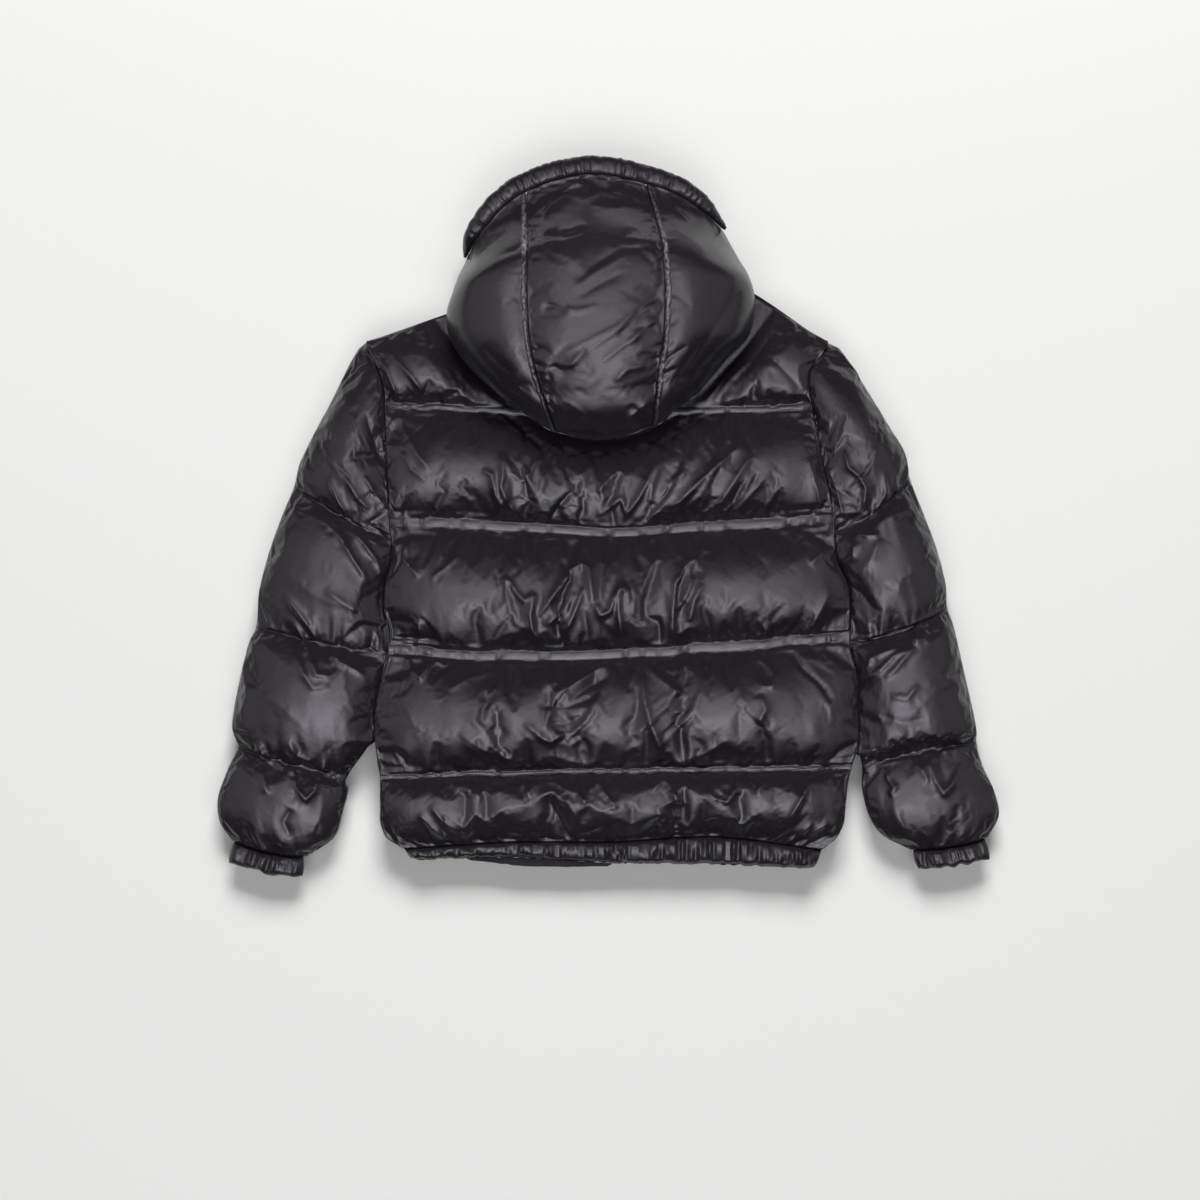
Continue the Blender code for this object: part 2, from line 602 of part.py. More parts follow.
def main():
    for old in list(bpy.data.objects):
        bpy.data.objects.remove(old, do_unlink=True)
    build_back()
    build_front("front_left", True)
    build_front("front_right", False)
    build_zip()
    build_hem()
    build_tube("sleeve_left", clear_of_body(SLEEVE_LEFT, "left"))
    build_tube("sleeve_right", clear_of_body(SLEEVE_RIGHT, "right"))
    build_cuff("cuff_left", SLEEVE_LEFT, CUFF_LEFT)
    build_cuff("cuff_right", SLEEVE_RIGHT, CUFF_RIGHT)
    build_hood()


main()
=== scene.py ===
"""A child's glossy black hooded puffer jacket, laid flat on its front, seen from above.

Each cut piece is worked out on grids from short tables of sizes. The padded pieces are then
inflated by one cloth simulation, finished with placed creases, and dressed in their finishes.
Sizes are metres unless a name says mm. The hood points to +Y and the hem to -Y.
"""

import logging
import math
from dataclasses import dataclass, field
from enum import Enum

import bpy
import numpy as np
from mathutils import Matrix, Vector


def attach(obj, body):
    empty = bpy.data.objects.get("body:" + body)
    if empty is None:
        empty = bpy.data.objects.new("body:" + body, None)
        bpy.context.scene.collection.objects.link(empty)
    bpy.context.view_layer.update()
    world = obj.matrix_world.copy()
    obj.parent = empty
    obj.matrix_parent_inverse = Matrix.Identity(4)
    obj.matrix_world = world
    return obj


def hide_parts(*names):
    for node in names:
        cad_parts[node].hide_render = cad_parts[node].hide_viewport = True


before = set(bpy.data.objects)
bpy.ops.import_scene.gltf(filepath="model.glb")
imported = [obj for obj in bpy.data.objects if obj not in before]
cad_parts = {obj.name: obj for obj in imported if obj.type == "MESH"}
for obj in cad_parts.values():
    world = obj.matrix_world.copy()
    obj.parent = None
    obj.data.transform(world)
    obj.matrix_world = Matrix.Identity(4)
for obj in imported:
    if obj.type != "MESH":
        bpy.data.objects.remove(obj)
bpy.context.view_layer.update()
LOG = logging.getLogger("jacket")

MM = 0.001
MID_Z = 0.020  # height where the back lies on the fronts
SEAM = 0.0003  # clear gap between two pieces
FIFTHS = np.array([0.0, 0.25, 0.5, 0.75, 1.0])


class Part(Enum):
    """The record's material slots."""

    NYLON = "black_nylon"
    FACING = "black_facing"
    ZIP = "black_zip"


# --------------------------------------------------------------------------- small maths


def smooth(at: np.ndarray, places: np.ndarray, values: np.ndarray) -> np.ndarray:
    """Value of a Catmull-Rom curve: each stretch is a cubic with the slope of its neighbours.

    Args:
        at: Places where the curve is wanted.
        places: Rising places of the known values.
        values: Known values.

    Returns:
        The curve at each place.
    """
    places, values = np.asarray(places, float), np.asarray(values, float)
    at = np.clip(np.asarray(at, float), places[0], places[-1])
    slope = np.gradient(values, places)
    k = np.clip(np.searchsorted(places, at, side="right") - 1, 0, len(places) - 2)
    width = places[k + 1] - places[k]
    t = (at - places[k]) / width
    rise = (2 * t**3 - 3 * t**2 + 1) * values[k] + (3 * t**2 - 2 * t**3) * values[k + 1]
    lean = (t**3 - 2 * t**2 + t) * slope[k] + (t**3 - t**2) * slope[k + 1]
    return rise + width * lean


def noise(x: np.ndarray, y: np.ndarray, seed: int) -> np.ndarray:
    """Smooth noise from -1 to 1: random values on a unit lattice, blended by a smooth step.

    Args:
        x: First coordinate, in lattice units.
        y: Second coordinate, in lattice units.
        seed: Seed of the lattice.

    Returns:
        Noise of the broadcast shape of x and y.
    """
    side = 257
    lattice = np.random.default_rng(seed).uniform(-1, 1, (side, side))
    x, y = np.broadcast_arrays(np.asarray(x, float), np.asarray(y, float))
    xi, yi = np.floor(x).astype(int), np.floor(y).astype(int)
    fx, fy = x - xi, y - yi
    fx, fy = fx * fx * (3 - 2 * fx), fy * fy * (3 - 2 * fy)
    xa, xb, ya, yb = xi % side, (xi + 1) % side, yi % side, (yi + 1) % side
    low = lattice[ya, xa] * (1 - fx) + lattice[ya, xb] * fx
    high = lattice[yb, xa] * (1 - fx) + lattice[yb, xb] * fx
    return low * (1 - fy) + high * fy


def normals_of(grid: np.ndarray) -> np.ndarray:
    """Unit normals of a grid of points: the cross product of its two slopes, turned upward on the whole.

    Args:
        grid: Points, rows by columns by 3.

    Returns:
        A unit vector for each point.
    """
    across, along = np.gradient(grid, axis=1), np.gradient(grid, axis=0)
    out = np.cross(across, along)
    out /= np.linalg.norm(out, axis=-1, keepdims=True).clip(1e-12)
    return out if out[..., 2].mean() > 0 else -out


def finer(grid: np.ndarray) -> np.ndarray:
    """Doubles a grid each way.

    Each new point is nine of its two neighbours less one of the next two, over sixteen.

    Args:
        grid: Points, rows by columns by 3.

    Returns:
        The grid with a point more between each two.
    """
    for axis in (0, 1):
        g = np.moveaxis(grid, axis, 0)
        wide = np.concatenate([2 * g[:1] - g[1:2], g, 2 * g[-1:] - g[-2:-1]])
        between = (9 * (wide[1:-2] + wide[2:-1]) - wide[:-3] - wide[3:]) / 16
        made = np.empty((2 * len(g) - 1, *g.shape[1:]))
        made[0::2], made[1::2] = g, between
        grid = np.moveaxis(made, 0, axis)
    return grid


@dataclass(frozen=True)
class Fold:
    """One placed crease: a ridge or trough along a bowed line.

    Sizes are millimetres in plan; a negative rise is a trough.
    """

    x0: float
    y0: float
    x1: float
    y1: float
    rise: float
    width: float
    bow: float = 0.0

    def lift(self, x: np.ndarray, y: np.ndarray) -> np.ndarray:
        """Height of the crease.

        Its rise falls with the distance from its line over its width, and to nothing at its ends.

        Args:
            x: Plan places, in metres.
            y: Plan places, in metres.

        Returns:
            Height in metres.
        """
        ax, ay, bx, by = (v * MM for v in (self.x0, self.y0, self.x1, self.y1))
        dx, dy = bx - ax, by - ay
        long = math.hypot(dx, dy)
        t = ((x - ax) * dx + (y - ay) * dy) / long**2
        side = ((x - ax) * dy - (y - ay) * dx) / long
        side = side - self.bow * MM * (1 - (2 * t - 1) ** 2)
        taper = np.clip(1 - (2 * t - 1) ** 2, 0, 1) ** 0.8
        near = np.abs(side) / (self.width * MM)
        return self.rise * MM * taper * np.exp(-(near**1.35))


@dataclass(frozen=True)
class Crease:
    """One sharp crease along a line of several points, in plan millimetres."""

    rise: float
    width: float
    points: tuple

    def lift(self, x: np.ndarray, y: np.ndarray) -> np.ndarray:
        """Height of the crease.

        Its rise falls with the distance from its nearest stretch, and to nothing at its ends.

        Args:
            x: Plan places, in metres.
            y: Plan places, in metres.

        Returns:
            Height in metres.
        """
        line = np.array(self.points) * MM
        pieces = np.diff(line, axis=0)
        lengths = np.linalg.norm(pieces, axis=1)
        total, done = lengths.sum(), 0.0
        nearest, along = np.full(x.shape, 1e3), np.zeros(x.shape)
        for start, piece, length in zip(line, pieces, lengths):
            t = (((x - start[0]) * piece[0] + (y - start[1]) * piece[1]) / length**2).clip(0, 1)
            away = np.hypot(x - start[0] - t * piece[0], y - start[1] - t * piece[1])
            closer = away < nearest
            nearest = np.where(closer, away, nearest)
            along = np.where(closer, (done + t * length) / total, along)
            done += length
        taper = np.clip(1 - (2 * along - 1) ** 4, 0, 1)
        return self.rise * MM * taper * np.exp(-((nearest / (self.width * MM)) ** 1.15))


# --------------------------------------------------------------------------- meshes


def shaded(name: str, points: np.ndarray, faces: list) -> bpy.types.Object:
    """Makes a smooth-shaded object from points and faces.

    Args:
        name: Name of the object.
        points: Its points, n by 3.
        faces: Lists of point numbers.

    Returns:
        The object, linked to the scene.
    """
    mesh = bpy.data.meshes.new(name)
    mesh.from_pydata(points.tolist(), [], faces)
    mesh.polygons.foreach_set("use_smooth", np.ones(len(mesh.polygons), bool))
    mesh.update()
    made = bpy.data.objects.new(name, mesh)
    bpy.context.scene.collection.objects.link(made)
    return made


def grid_faces(rows: int, cols: int, start: int = 0, turned: bool = False) -> list:
    """Quads of a grid of points.

    Args:
        rows: Rows of points.
        cols: Points in a row.
        start: Number of the first point.
        turned: Whether the quads face the other way.

    Returns:
        Quads as lists of point numbers.
    """
    a = start + (np.arange(rows - 1)[:, None] * cols + np.arange(cols - 1)[None, :])
    quads = np.stack([a, a + 1, a + cols + 1, a + cols], axis=-1).reshape(-1, 4)
    return (quads[:, ::-1] if turned else quads).tolist()


def rim_of(rows: int, cols: int) -> np.ndarray:
    """Numbers of the points round the edge of a grid, in order.

    Args:
        rows: Rows of points.
        cols: Points in a row.

    Returns:
        Point numbers, anticlockwise from the first.
    """
    n = np.arange(rows * cols).reshape(rows, cols)
    return np.concatenate([n[0, :], n[1:, -1], n[-1, -2::-1], n[-2:0:-1, 0]])


def slab(name: str, top: np.ndarray, bottom: np.ndarray) -> bpy.types.Object:
    """A closed piece between two grids of the same size.

    Args:
        name: Name of the object.
        top: Upper grid.
        bottom: Lower grid.

    Returns:
        The object.
    """
    rows, cols = top.shape[:2]
    low = rows * cols
    rim = rim_of(rows, cols)
    after = np.roll(rim, -1)
    sides = np.stack([rim, rim + low, after + low, after], axis=-1).tolist()
    faces = grid_faces(rows, cols) + grid_faces(rows, cols, low, turned=True) + sides
    return shaded(name, np.concatenate([top.reshape(-1, 3), bottom.reshape(-1, 3)]), faces)


def lidded(name: str, top: np.ndarray, floor: float) -> bpy.types.Object:
    """A grid closed by a skirt down to a flat floor.

    Args:
        name: Name of the object.
        top: Upper grid.
        floor: Height of the flat face.

    Returns:
        The object.
    """
    rows, cols = top.shape[:2]
    rim = rim_of(rows, cols)
    foot = top.reshape(-1, 3)[rim].copy()
    foot[:, 2] = floor
    start = rows * cols
    here = start + np.arange(len(rim))
    sides = np.stack([rim, here, np.roll(here, -1), np.roll(rim, -1)], axis=-1).tolist()
    faces = grid_faces(rows, cols) + sides + [here[::-1].tolist()]
    return shaded(name, np.concatenate([top.reshape(-1, 3), foot]), faces)


def tube(name: str, rings: np.ndarray) -> bpy.types.Object:
    """A closed piece through rings of points.

    Args:
        name: Name of the object.
        rings: Rings by points round by 3.

    Returns:
        The object.
    """
    count, around = rings.shape[:2]
    n = np.arange(count * around).reshape(count, around)
    a, b = n[:-1], np.roll(n, -1, axis=1)[:-1]
    quads = np.stack([a, b, b + around, a + around], axis=-1).reshape(-1, 4).tolist()
    caps = [n[0, ::-1].tolist(), n[-1].tolist()]
    return shaded(name, rings.reshape(-1, 3), quads + caps)


def mark_painted_highlight(piece: bpy.types.Object, share: np.ndarray) -> None:
    """Marks where the colour takes a painted highlight along seams and bands, for its finish to read.

    Args:
        piece: The object.
        share: From 0 to 1 for the first points of its mesh; the rest take 0.
    """
    values = np.zeros(len(piece.data.vertices), np.float32)
    values[: share.size] = share.reshape(-1)
    piece.data.attributes.new("painted_highlight", "FLOAT", "POINT").data.foreach_set("value", values)


# --------------------------------------------------------------------------- simulation


@dataclass
class Puffing:
    """One cloth simulation for all padded pieces, so that they inflate side by side."""

    frames: int = 22
    jobs: dict = field(default_factory=dict)

    def add(
        self, name: str, grid: np.ndarray, held: np.ndarray, spare: np.ndarray, swell: tuple, pressure: float
    ) -> None:
        """Adds a sheet to inflate.

        Args:
            name: Name of the piece.
            grid: Its points at the start.
            held: True where stitching holds the sheet.
            spare: From 0 to 1, where the sheet has more spare cloth.
            swell: Least and most spare cloth each way, as shares.
            pressure: Push of the filling.
        """
        rows, cols = grid.shape[:2]
        across, along = grid[0, -1, :2] - grid[0, 0, :2], grid[-1, 0, :2] - grid[0, 0, :2]
        facing_down = across[0] * along[1] - across[1] * along[0] < 0
        made = shaded(f"sheet_{name}", grid.reshape(-1, 3), grid_faces(rows, cols, turned=facing_down))
        pins = made.vertex_groups.new(name="held")
        pins.add(np.nonzero(held.reshape(-1))[0].tolist(), 1.0, "REPLACE")
        loose = made.vertex_groups.new(name="loose")
        level = np.round(spare.reshape(-1).clip(0, 1) * 24).astype(int)
        for step in range(25):
            loose.add(np.nonzero(level == step)[0].tolist(), step / 24, "REPLACE")
        cloth = made.modifiers.new("filling", "CLOTH")
        s = cloth.settings
        s.quality = 5
        s.mass = 0.12
        s.air_damping = 3.0
        s.tension_stiffness = s.compression_stiffness = 30.0
        s.shear_stiffness = 8.0
        s.bending_stiffness = 0.30
        s.tension_damping = s.compression_damping = 8.0
        s.vertex_group_mass = "held"
        s.vertex_group_shrink = "loose"
        s.use_pressure = True
        s.uniform_pressure_force = pressure
        s.shrink_min, s.shrink_max = -swell[0], -swell[1]
        s.effector_weights.gravity = 0.0
        cloth.collision_settings.use_collision = False
        cloth.point_cache.frame_start, cloth.point_cache.frame_end = 1, self.frames
        self.jobs[name] = (made, grid)

    def run(self) -> dict:
        """Steps the simulation and reads the inflated sheets.

        Returns:
            The grid of each piece by name.
        """
        for step in range(1, self.frames + 1):
            bpy.context.scene.frame_set(step)
        graph = bpy.context.evaluated_depsgraph_get()
        found = {}
        for name, (made, grid) in self.jobs.items():
            found[name] = grid
            mesh = made.evaluated_get(graph).to_mesh()
            flat = np.empty(len(mesh.vertices) * 3, np.float32)
            mesh.vertices.foreach_get("co", flat)
            found[name] = flat.reshape(grid.shape).astype(float)
        for made, _ in self.jobs.values():
            bpy.data.objects.remove(made, do_unlink=True)
        bpy.context.scene.frame_set(1)
        return found


# --------------------------------------------------------------------------- finishes


def linear(code: str) -> tuple:
    """Linear colour of an sRGB hex code: each channel undone by the sRGB curve.

    Args:
        code: Six hex digits after a hash.

    Returns:
        Red, green, blue and an alpha of one.
    """
    channels = [int(code[i : i + 2], 16) / 255 for i in (1, 3, 5)]
    return (*[c / 12.92 if c <= 0.04045 else ((c + 0.055) / 1.055) ** 2.4 for c in channels], 1.0)


def add_node(tree: bpy.types.NodeTree, kind: str, links: dict, values: dict, **settings) -> bpy.types.Node:
    """Adds a node with its settings, values and links.

    Args:
        tree: Node tree to add to.
        kind: Type of the node.
        links: Output sockets by the name or number of the input they feed.
        values: Fixed values by the name or number of the input.
        **settings: Properties of the node.

    Returns:
        The node.
    """
    node = tree.nodes.new(kind)
    for key, value in settings.items():
        setattr(node, key, value)
    for key, value in values.items():
        node.inputs[key].default_value = value
    for key, socket in links.items():
        tree.links.new(socket, node.inputs[key])
    return node


def fresh_material(name: str) -> tuple:
    """A new node material with only its output.

    Args:
        name: Name of the material.

    Returns:
        The material, its node tree and its output node.
    """
    made = bpy.data.materials.new(name)
    made.use_nodes = True
    tree = made.node_tree
    tree.nodes.clear()
    return made, tree, tree.nodes.new("ShaderNodeOutputMaterial")


@dataclass(frozen=True)
class CalenderedNylon:
    """Thin black nylon pressed to a gloss, over soft filling."""

    name: str = "glossy_black_nylon"
    colour: str = "#171317"
    faded: str = "#1D181E"
    # Light grey of the painted highlight mixed into the colour along stitched bands and hood welts
    highlight_grey: str = "#8C888F"
    roughness: float = 0.29
    crumple_mm: float = 6.5  # size of the small soft dents of the shell
    crease_mm: float = 12.0  # spacing of its hair-fine creases
    weave_mm: float = 0.9

    def build(self) -> bpy.types.Material:
        """Builds the material.

        Returns:
            The material.
        """
        made, tree, output = fresh_material(self.name)
        place = add_node(tree, "ShaderNodeTexCoord", {}, {}).outputs["Object"]
        # Broad faint change of tone, as dye and wear give
        tone = add_node(tree, "ShaderNodeTexNoise", {"Vector": place}, {"Scale": 14.0, "Detail": 3.0})
        colour = add_node(
            tree,
            "ShaderNodeMix",
            {"Factor": tone.outputs["Fac"]},
            {"A": linear(self.colour), "B": linear(self.faded)},
            data_type="RGBA",
        )
        # Painted highlight: along stitched bands and hood welts the colour is mixed toward a light grey,
        # standing in for the light these seams catch
        painted_highlight = add_node(tree, "ShaderNodeAttribute", {}, {}, attribute_name="painted_highlight").outputs["Fac"]
        highlit = add_node(
            tree,
            "ShaderNodeMix",
            {"Factor": painted_highlight, "A": colour.outputs["Result"]},
            {"B": linear(self.highlight_grey)},
            data_type="RGBA",
        )
        # Slightly uneven gloss, duller where the calendering has cracked
        gloss = add_node(
            tree,
            "ShaderNodeMapRange",
            {"Value": tone.outputs["Fac"]},
            {
                "From Min": 0.3,
                "From Max": 0.7,
                "To Min": self.roughness - 0.03,
                "To Max": self.roughness + 0.05,
            },
        )
        # Small soft dents of the thin shell over the filling
        dents = add_node(
            tree, "ShaderNodeTexNoise", {"Vector": place}, {"Scale": 1000 / self.crumple_mm, "Detail": 4.0}
        )
        # Hair-fine creases that cross the dents
        creases = add_node(
            tree,
            "ShaderNodeTexNoise",
            {"Vector": place},
            {"Scale": 1000 / self.crease_mm, "Detail": 4.0, "Distortion": 0.6},
            noise_type="RIDGED_MULTIFRACTAL",
        )
        weave = add_node(
            tree, "ShaderNodeTexNoise", {"Vector": place}, {"Scale": 1000 / self.weave_mm, "Detail": 1.0}
        )
        first = add_node(
            tree, "ShaderNodeBump", {"Height": dents.outputs["Fac"]}, {"Strength": 0.32, "Distance": 0.0006}
        )
        second = add_node(
            tree,
            "ShaderNodeBump",
            {"Height": creases.outputs["Fac"], "Normal": first.outputs["Normal"]},
            {"Strength": 0.24, "Distance": 0.0005},
        )
        third = add_node(
            tree,
            "ShaderNodeBump",
            {"Height": weave.outputs["Fac"], "Normal": second.outputs["Normal"]},
            {"Strength": 0.12, "Distance": 0.00005},
        )
        shader = add_node(
            tree,
            "ShaderNodeBsdfPrincipled",
            {
                "Base Color": highlit.outputs["Result"],
                "Roughness": gloss.outputs["Result"],
                "Normal": third.outputs["Normal"],
            },
            {"Specular IOR Level": 0.62, "Sheen Weight": 0.03, "Sheen Roughness": 0.5, "IOR": 1.53},
        )
        tree.links.new(shader.outputs["BSDF"], output.inputs["Surface"])
        return made


@dataclass(frozen=True)
class WovenFacing:
    """Matt black woven tape inside the front hem."""

    name: str = "matt_black_facing"
    colour: str = "#1F1C20"
    thread_mm: float = 0.7

    def build(self) -> bpy.types.Material:
        """Builds the material.

        Returns:
            The material.
        """
        made, tree, output = fresh_material(self.name)
        place = add_node(tree, "ShaderNodeTexCoord", {}, {}).outputs["Object"]
        # Crossed threads of a plain weave
        weave = add_node(
            tree,
            "ShaderNodeTexWave",
            {"Vector": place},
            {"Scale": 1000 / self.thread_mm / 6.283, "Distortion": 1.5, "Detail": 1.0},
        )
        bump = add_node(
            tree, "ShaderNodeBump", {"Height": weave.outputs["Fac"]}, {"Strength": 0.4, "Distance": 0.0002}
        )
        shader = add_node(
            tree,
            "ShaderNodeBsdfPrincipled",
            {"Normal": bump.outputs["Normal"]},
            {"Base Color": linear(self.colour), "Roughness": 0.85, "Sheen Weight": 0.25},
        )
        tree.links.new(shader.outputs["BSDF"], output.inputs["Surface"])
        return made


@dataclass(frozen=True)
class MouldedZip:
    """Black moulded zip teeth, tape and slider."""

    name: str = "black_moulded_zip"
    colour: str = "#1A1A1B"

    def build(self) -> bpy.types.Material:
        """Builds the material.

        Returns:
            The material.
        """
        made, tree, output = fresh_material(self.name)
        place = add_node(tree, "ShaderNodeTexCoord", {}, {}).outputs["Object"]
        # Fine grain of moulded plastic and tape
        grain = add_node(tree, "ShaderNodeTexNoise", {"Vector": place}, {"Scale": 1400.0, "Detail": 2.0})
        bump = add_node(
            tree, "ShaderNodeBump", {"Height": grain.outputs["Fac"]}, {"Strength": 0.3, "Distance": 0.0001}
        )
        shader = add_node(
            tree,
            "ShaderNodeBsdfPrincipled",
            {"Normal": bump.outputs["Normal"]},
            {"Base Color": linear(self.colour), "Roughness": 0.45},
        )
        tree.links.new(shader.outputs["BSDF"], output.inputs["Surface"])
        return made


@dataclass(frozen=True)
class Thread:
    """Black polyester sewing thread, a little lighter than the shell."""

    name: str = "black_thread"
    colour: str = "#3A373B"

    def build(self) -> bpy.types.Material:
        """Builds the material.

        Returns:
            The material.
        """
        made, tree, output = fresh_material(self.name)
        place = add_node(tree, "ShaderNodeTexCoord", {}, {}).outputs["Object"]
        # Twist of the thread
        twist = add_node(tree, "ShaderNodeTexWave", {"Vector": place}, {"Scale": 500.0, "Distortion": 1.0})
        bump = add_node(
            tree, "ShaderNodeBump", {"Height": twist.outputs["Fac"]}, {"Strength": 0.3, "Distance": 0.0001}
        )
        shader = add_node(
            tree,
            "ShaderNodeBsdfPrincipled",
            {"Normal": bump.outputs["Normal"]},
            {"Base Color": linear(self.colour), "Roughness": 0.55},
        )
        tree.links.new(shader.outputs["BSDF"], output.inputs["Surface"])
        return made


@dataclass(frozen=True)
class PaperSweep:
    """Pale matt surface that the jacket lies on."""

    name: str = "pale_surface"
    colour: str = "#F1F1F0"

    def build(self) -> bpy.types.Material:
        """Builds the material.

        Returns:
            The material.
        """
        made, tree, output = fresh_material(self.name)
        place = add_node(tree, "ShaderNodeTexCoord", {}, {}).outputs["Object"]
        # Faint unevenness of paper
        grain = add_node(tree, "ShaderNodeTexNoise", {"Vector": place}, {"Scale": 60.0, "Detail": 2.0})
        bump = add_node(
            tree, "ShaderNodeBump", {"Height": grain.outputs["Fac"]}, {"Strength": 0.05, "Distance": 0.0005}
        )
        shader = add_node(
            tree,
            "ShaderNodeBsdfPrincipled",
            {"Normal": bump.outputs["Normal"]},
            {"Base Color": linear(self.colour), "Roughness": 0.9, "Specular IOR Level": 0.2},
        )
        tree.links.new(shader.outputs["BSDF"], output.inputs["Surface"])
        return made


@dataclass
class Wardrobe:
    """All finishes of the scene, built once, and the dressing of each piece."""

    nylon: bpy.types.Material = None
    facing: bpy.types.Material = None
    zip: bpy.types.Material = None
    thread: bpy.types.Material = None

    def __post_init__(self) -> None:
        """Makes each finish once."""
        self.nylon = CalenderedNylon().build()
        self.facing = WovenFacing().build()
        self.zip = MouldedZip().build()
        self.thread = Thread().build()

    def dress(
        self, piece: bpy.types.Object, material: bpy.types.Material, stands_for: tuple = ()
    ) -> None:
        """Gives a piece its finish, parents it to the root body and hides the model parts it replaces.

        Args:
            piece: The object.
            material: Its material.
            stands_for: Nodes that it replaces.
        """
        piece.data.materials.clear()
        piece.data.materials.append(material)
        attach(piece, "root")
        if stands_for:
            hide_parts(*stands_for)
        LOG.info("%s: %d faces", piece.name, len(piece.data.polygons))


# --------------------------------------------------------------------------- body


@dataclass(frozen=True)
class BodyPlan:
    """Plan of the body: its side edges and its quilting lines."""

    lines: tuple = (
        # left, left_mid, centre, right_mid, right, width of the flat band
        ("hem", -0.3310, -0.3245, -0.3240, -0.3190, -0.3320, 0.0),
        ("low", -0.2590, -0.2560, -0.2530, -0.2520, -0.2500, 0.0035),
        ("waist", -0.1320, -0.1380, -0.1360, -0.1280, -0.1180, 0.0085),
        ("chest", -0.0040, -0.0080, -0.0140, -0.0080, -0.0010, 0.0085),
        ("yoke", 0.1140, 0.1070, 0.1050, 0.1070, 0.1110, 0.005),
        ("shoulder", 0.1765, 0.2135, 0.2220, 0.2395, 0.1765, 0.0),
    )
    edges: tuple = (
        # y, left, right
        (-0.3330, -0.2010, 0.2120),
        (-0.3220, -0.2200, 0.2262),
        (-0.3090, -0.2275, 0.2345),
        (-0.2880, -0.2290, 0.2375),
        (-0.2590, -0.2290, 0.2410),
        (-0.2370, -0.2325, 0.2480),
        (-0.1870, -0.2325, 0.2495),
        (-0.1530, -0.2255, 0.2485),
        (-0.1250, -0.2195, 0.2420),
        (-0.0890, -0.2245, 0.2415),
        (-0.0680, -0.2235, 0.2395),
        (-0.0390, -0.2175, 0.2285),
        (-0.0110, -0.2180, 0.2260),
        (0.0180, -0.2195, 0.2220),
        (0.0470, -0.2215, 0.2155),
        (0.0930, -0.2225, 0.2070),
        (0.1200, -0.2235, 0.2015),
        (0.1460, -0.2300, 0.2020),
        (0.1620, -0.2370, 0.2110),
        (0.1720, -0.2415, 0.2190),
    )

    def height(self, row: tuple, u: np.ndarray) -> np.ndarray:
        """Plan height of a quilting line.

        Args:
            row: The line's row of the table.
            u: Shares across the body.

        Returns:
            Its y.
        """
        line = smooth(u, FIFTHS, np.array(row[1:6]))
        return line + (0.0011 * noise(u * 15, 0 * u + row[3] * 90, 31) if row[6] else 0)

    def side(self, y: np.ndarray, right: bool) -> np.ndarray:
        """Side edge of the body.

        Args:
            y: Plan heights.
            right: Which side.

        Returns:
            Its x.
        """
        table = np.array(self.edges)
        return smooth(y, table[:, 0], table[:, 2 if right else 1])

    def grid(self, u: np.ndarray, steps: tuple) -> tuple:
        """Plan points of the body, row by row from the hem to the shoulders.

        Args:
            u: Shares across.
            steps: Rows in each channel.

        Returns:
            Plan points, and each row's share in its channel, channel and distance to the nearest line.
        """
        plan, share, channel, away = [], [], [], []
        for k, (below, above) in enumerate(zip(self.lines, self.lines[1:])):
            for s in np.linspace(0, 1, steps[k] + 1):
                start = self.height(below, u) + below[6] / 2
                end = self.height(above, u) - above[6] / 2
                y = start + (end - start) * s + (0.0004 if k and s == 0 else 0.0)
                y_left = below[1] * (1 - s) + above[1] * s
                y_right = below[5] * (1 - s) + above[5] * s
                left, right = self.side(y_left, False), self.side(y_right, True)
                plan.append(np.stack([left + (right - left) * u, y], axis=-1))
                share.append(s)
                channel.append(k)
                away.append(min(s, 1 - s) * float((end - start).mean()))
        return np.array(plan), np.array(share), np.array(channel), np.array(away)


def spread(count: int) -> np.ndarray:
    """Shares across a panel, closer together near its edges: half even, half a sine.

    Args:
        count: Number of shares.

    Returns:
        Shares from 0 to 1.
    """
    even = np.linspace(-1, 1, count)
    return (np.sin(even * np.pi / 2) * 0.5 + even * 0.5 + 1) / 2


def puckers(
    x: np.ndarray, away: np.ndarray, seed: int, rise: float, reach: float, pitch: float = 0.0065
) -> np.ndarray:
    """Gathers beside a row of stitching.

    Noise that runs out from the line, fine along it, grows from nothing at the stitching and
    dies away past its reach; a slower noise makes some stretches gather more than others.

    Args:
        x: Distance along the line.
        away: Distance from the line.
        seed: Seed of the pattern.
        rise: Height of the gathers.
        reach: Distance where they fade.
        pitch: Typical spacing of the gathers.

    Returns:
        Height of the surface.
    """
    fine = noise(x / pitch + 0.25 * noise(x / 0.02, away / 0.02, seed + 7), away / 0.045, seed)
    broad = 0.35 + 0.65 * (noise(x / 0.038, away * 0 + 0.5, seed + 3) * 0.5 + 0.5) * 1.4
    ramp = np.clip(away / 0.0025, 0, 1)
    return rise * (fine - 0.2) * broad * ramp * np.exp(-((away / reach) ** 1.3))


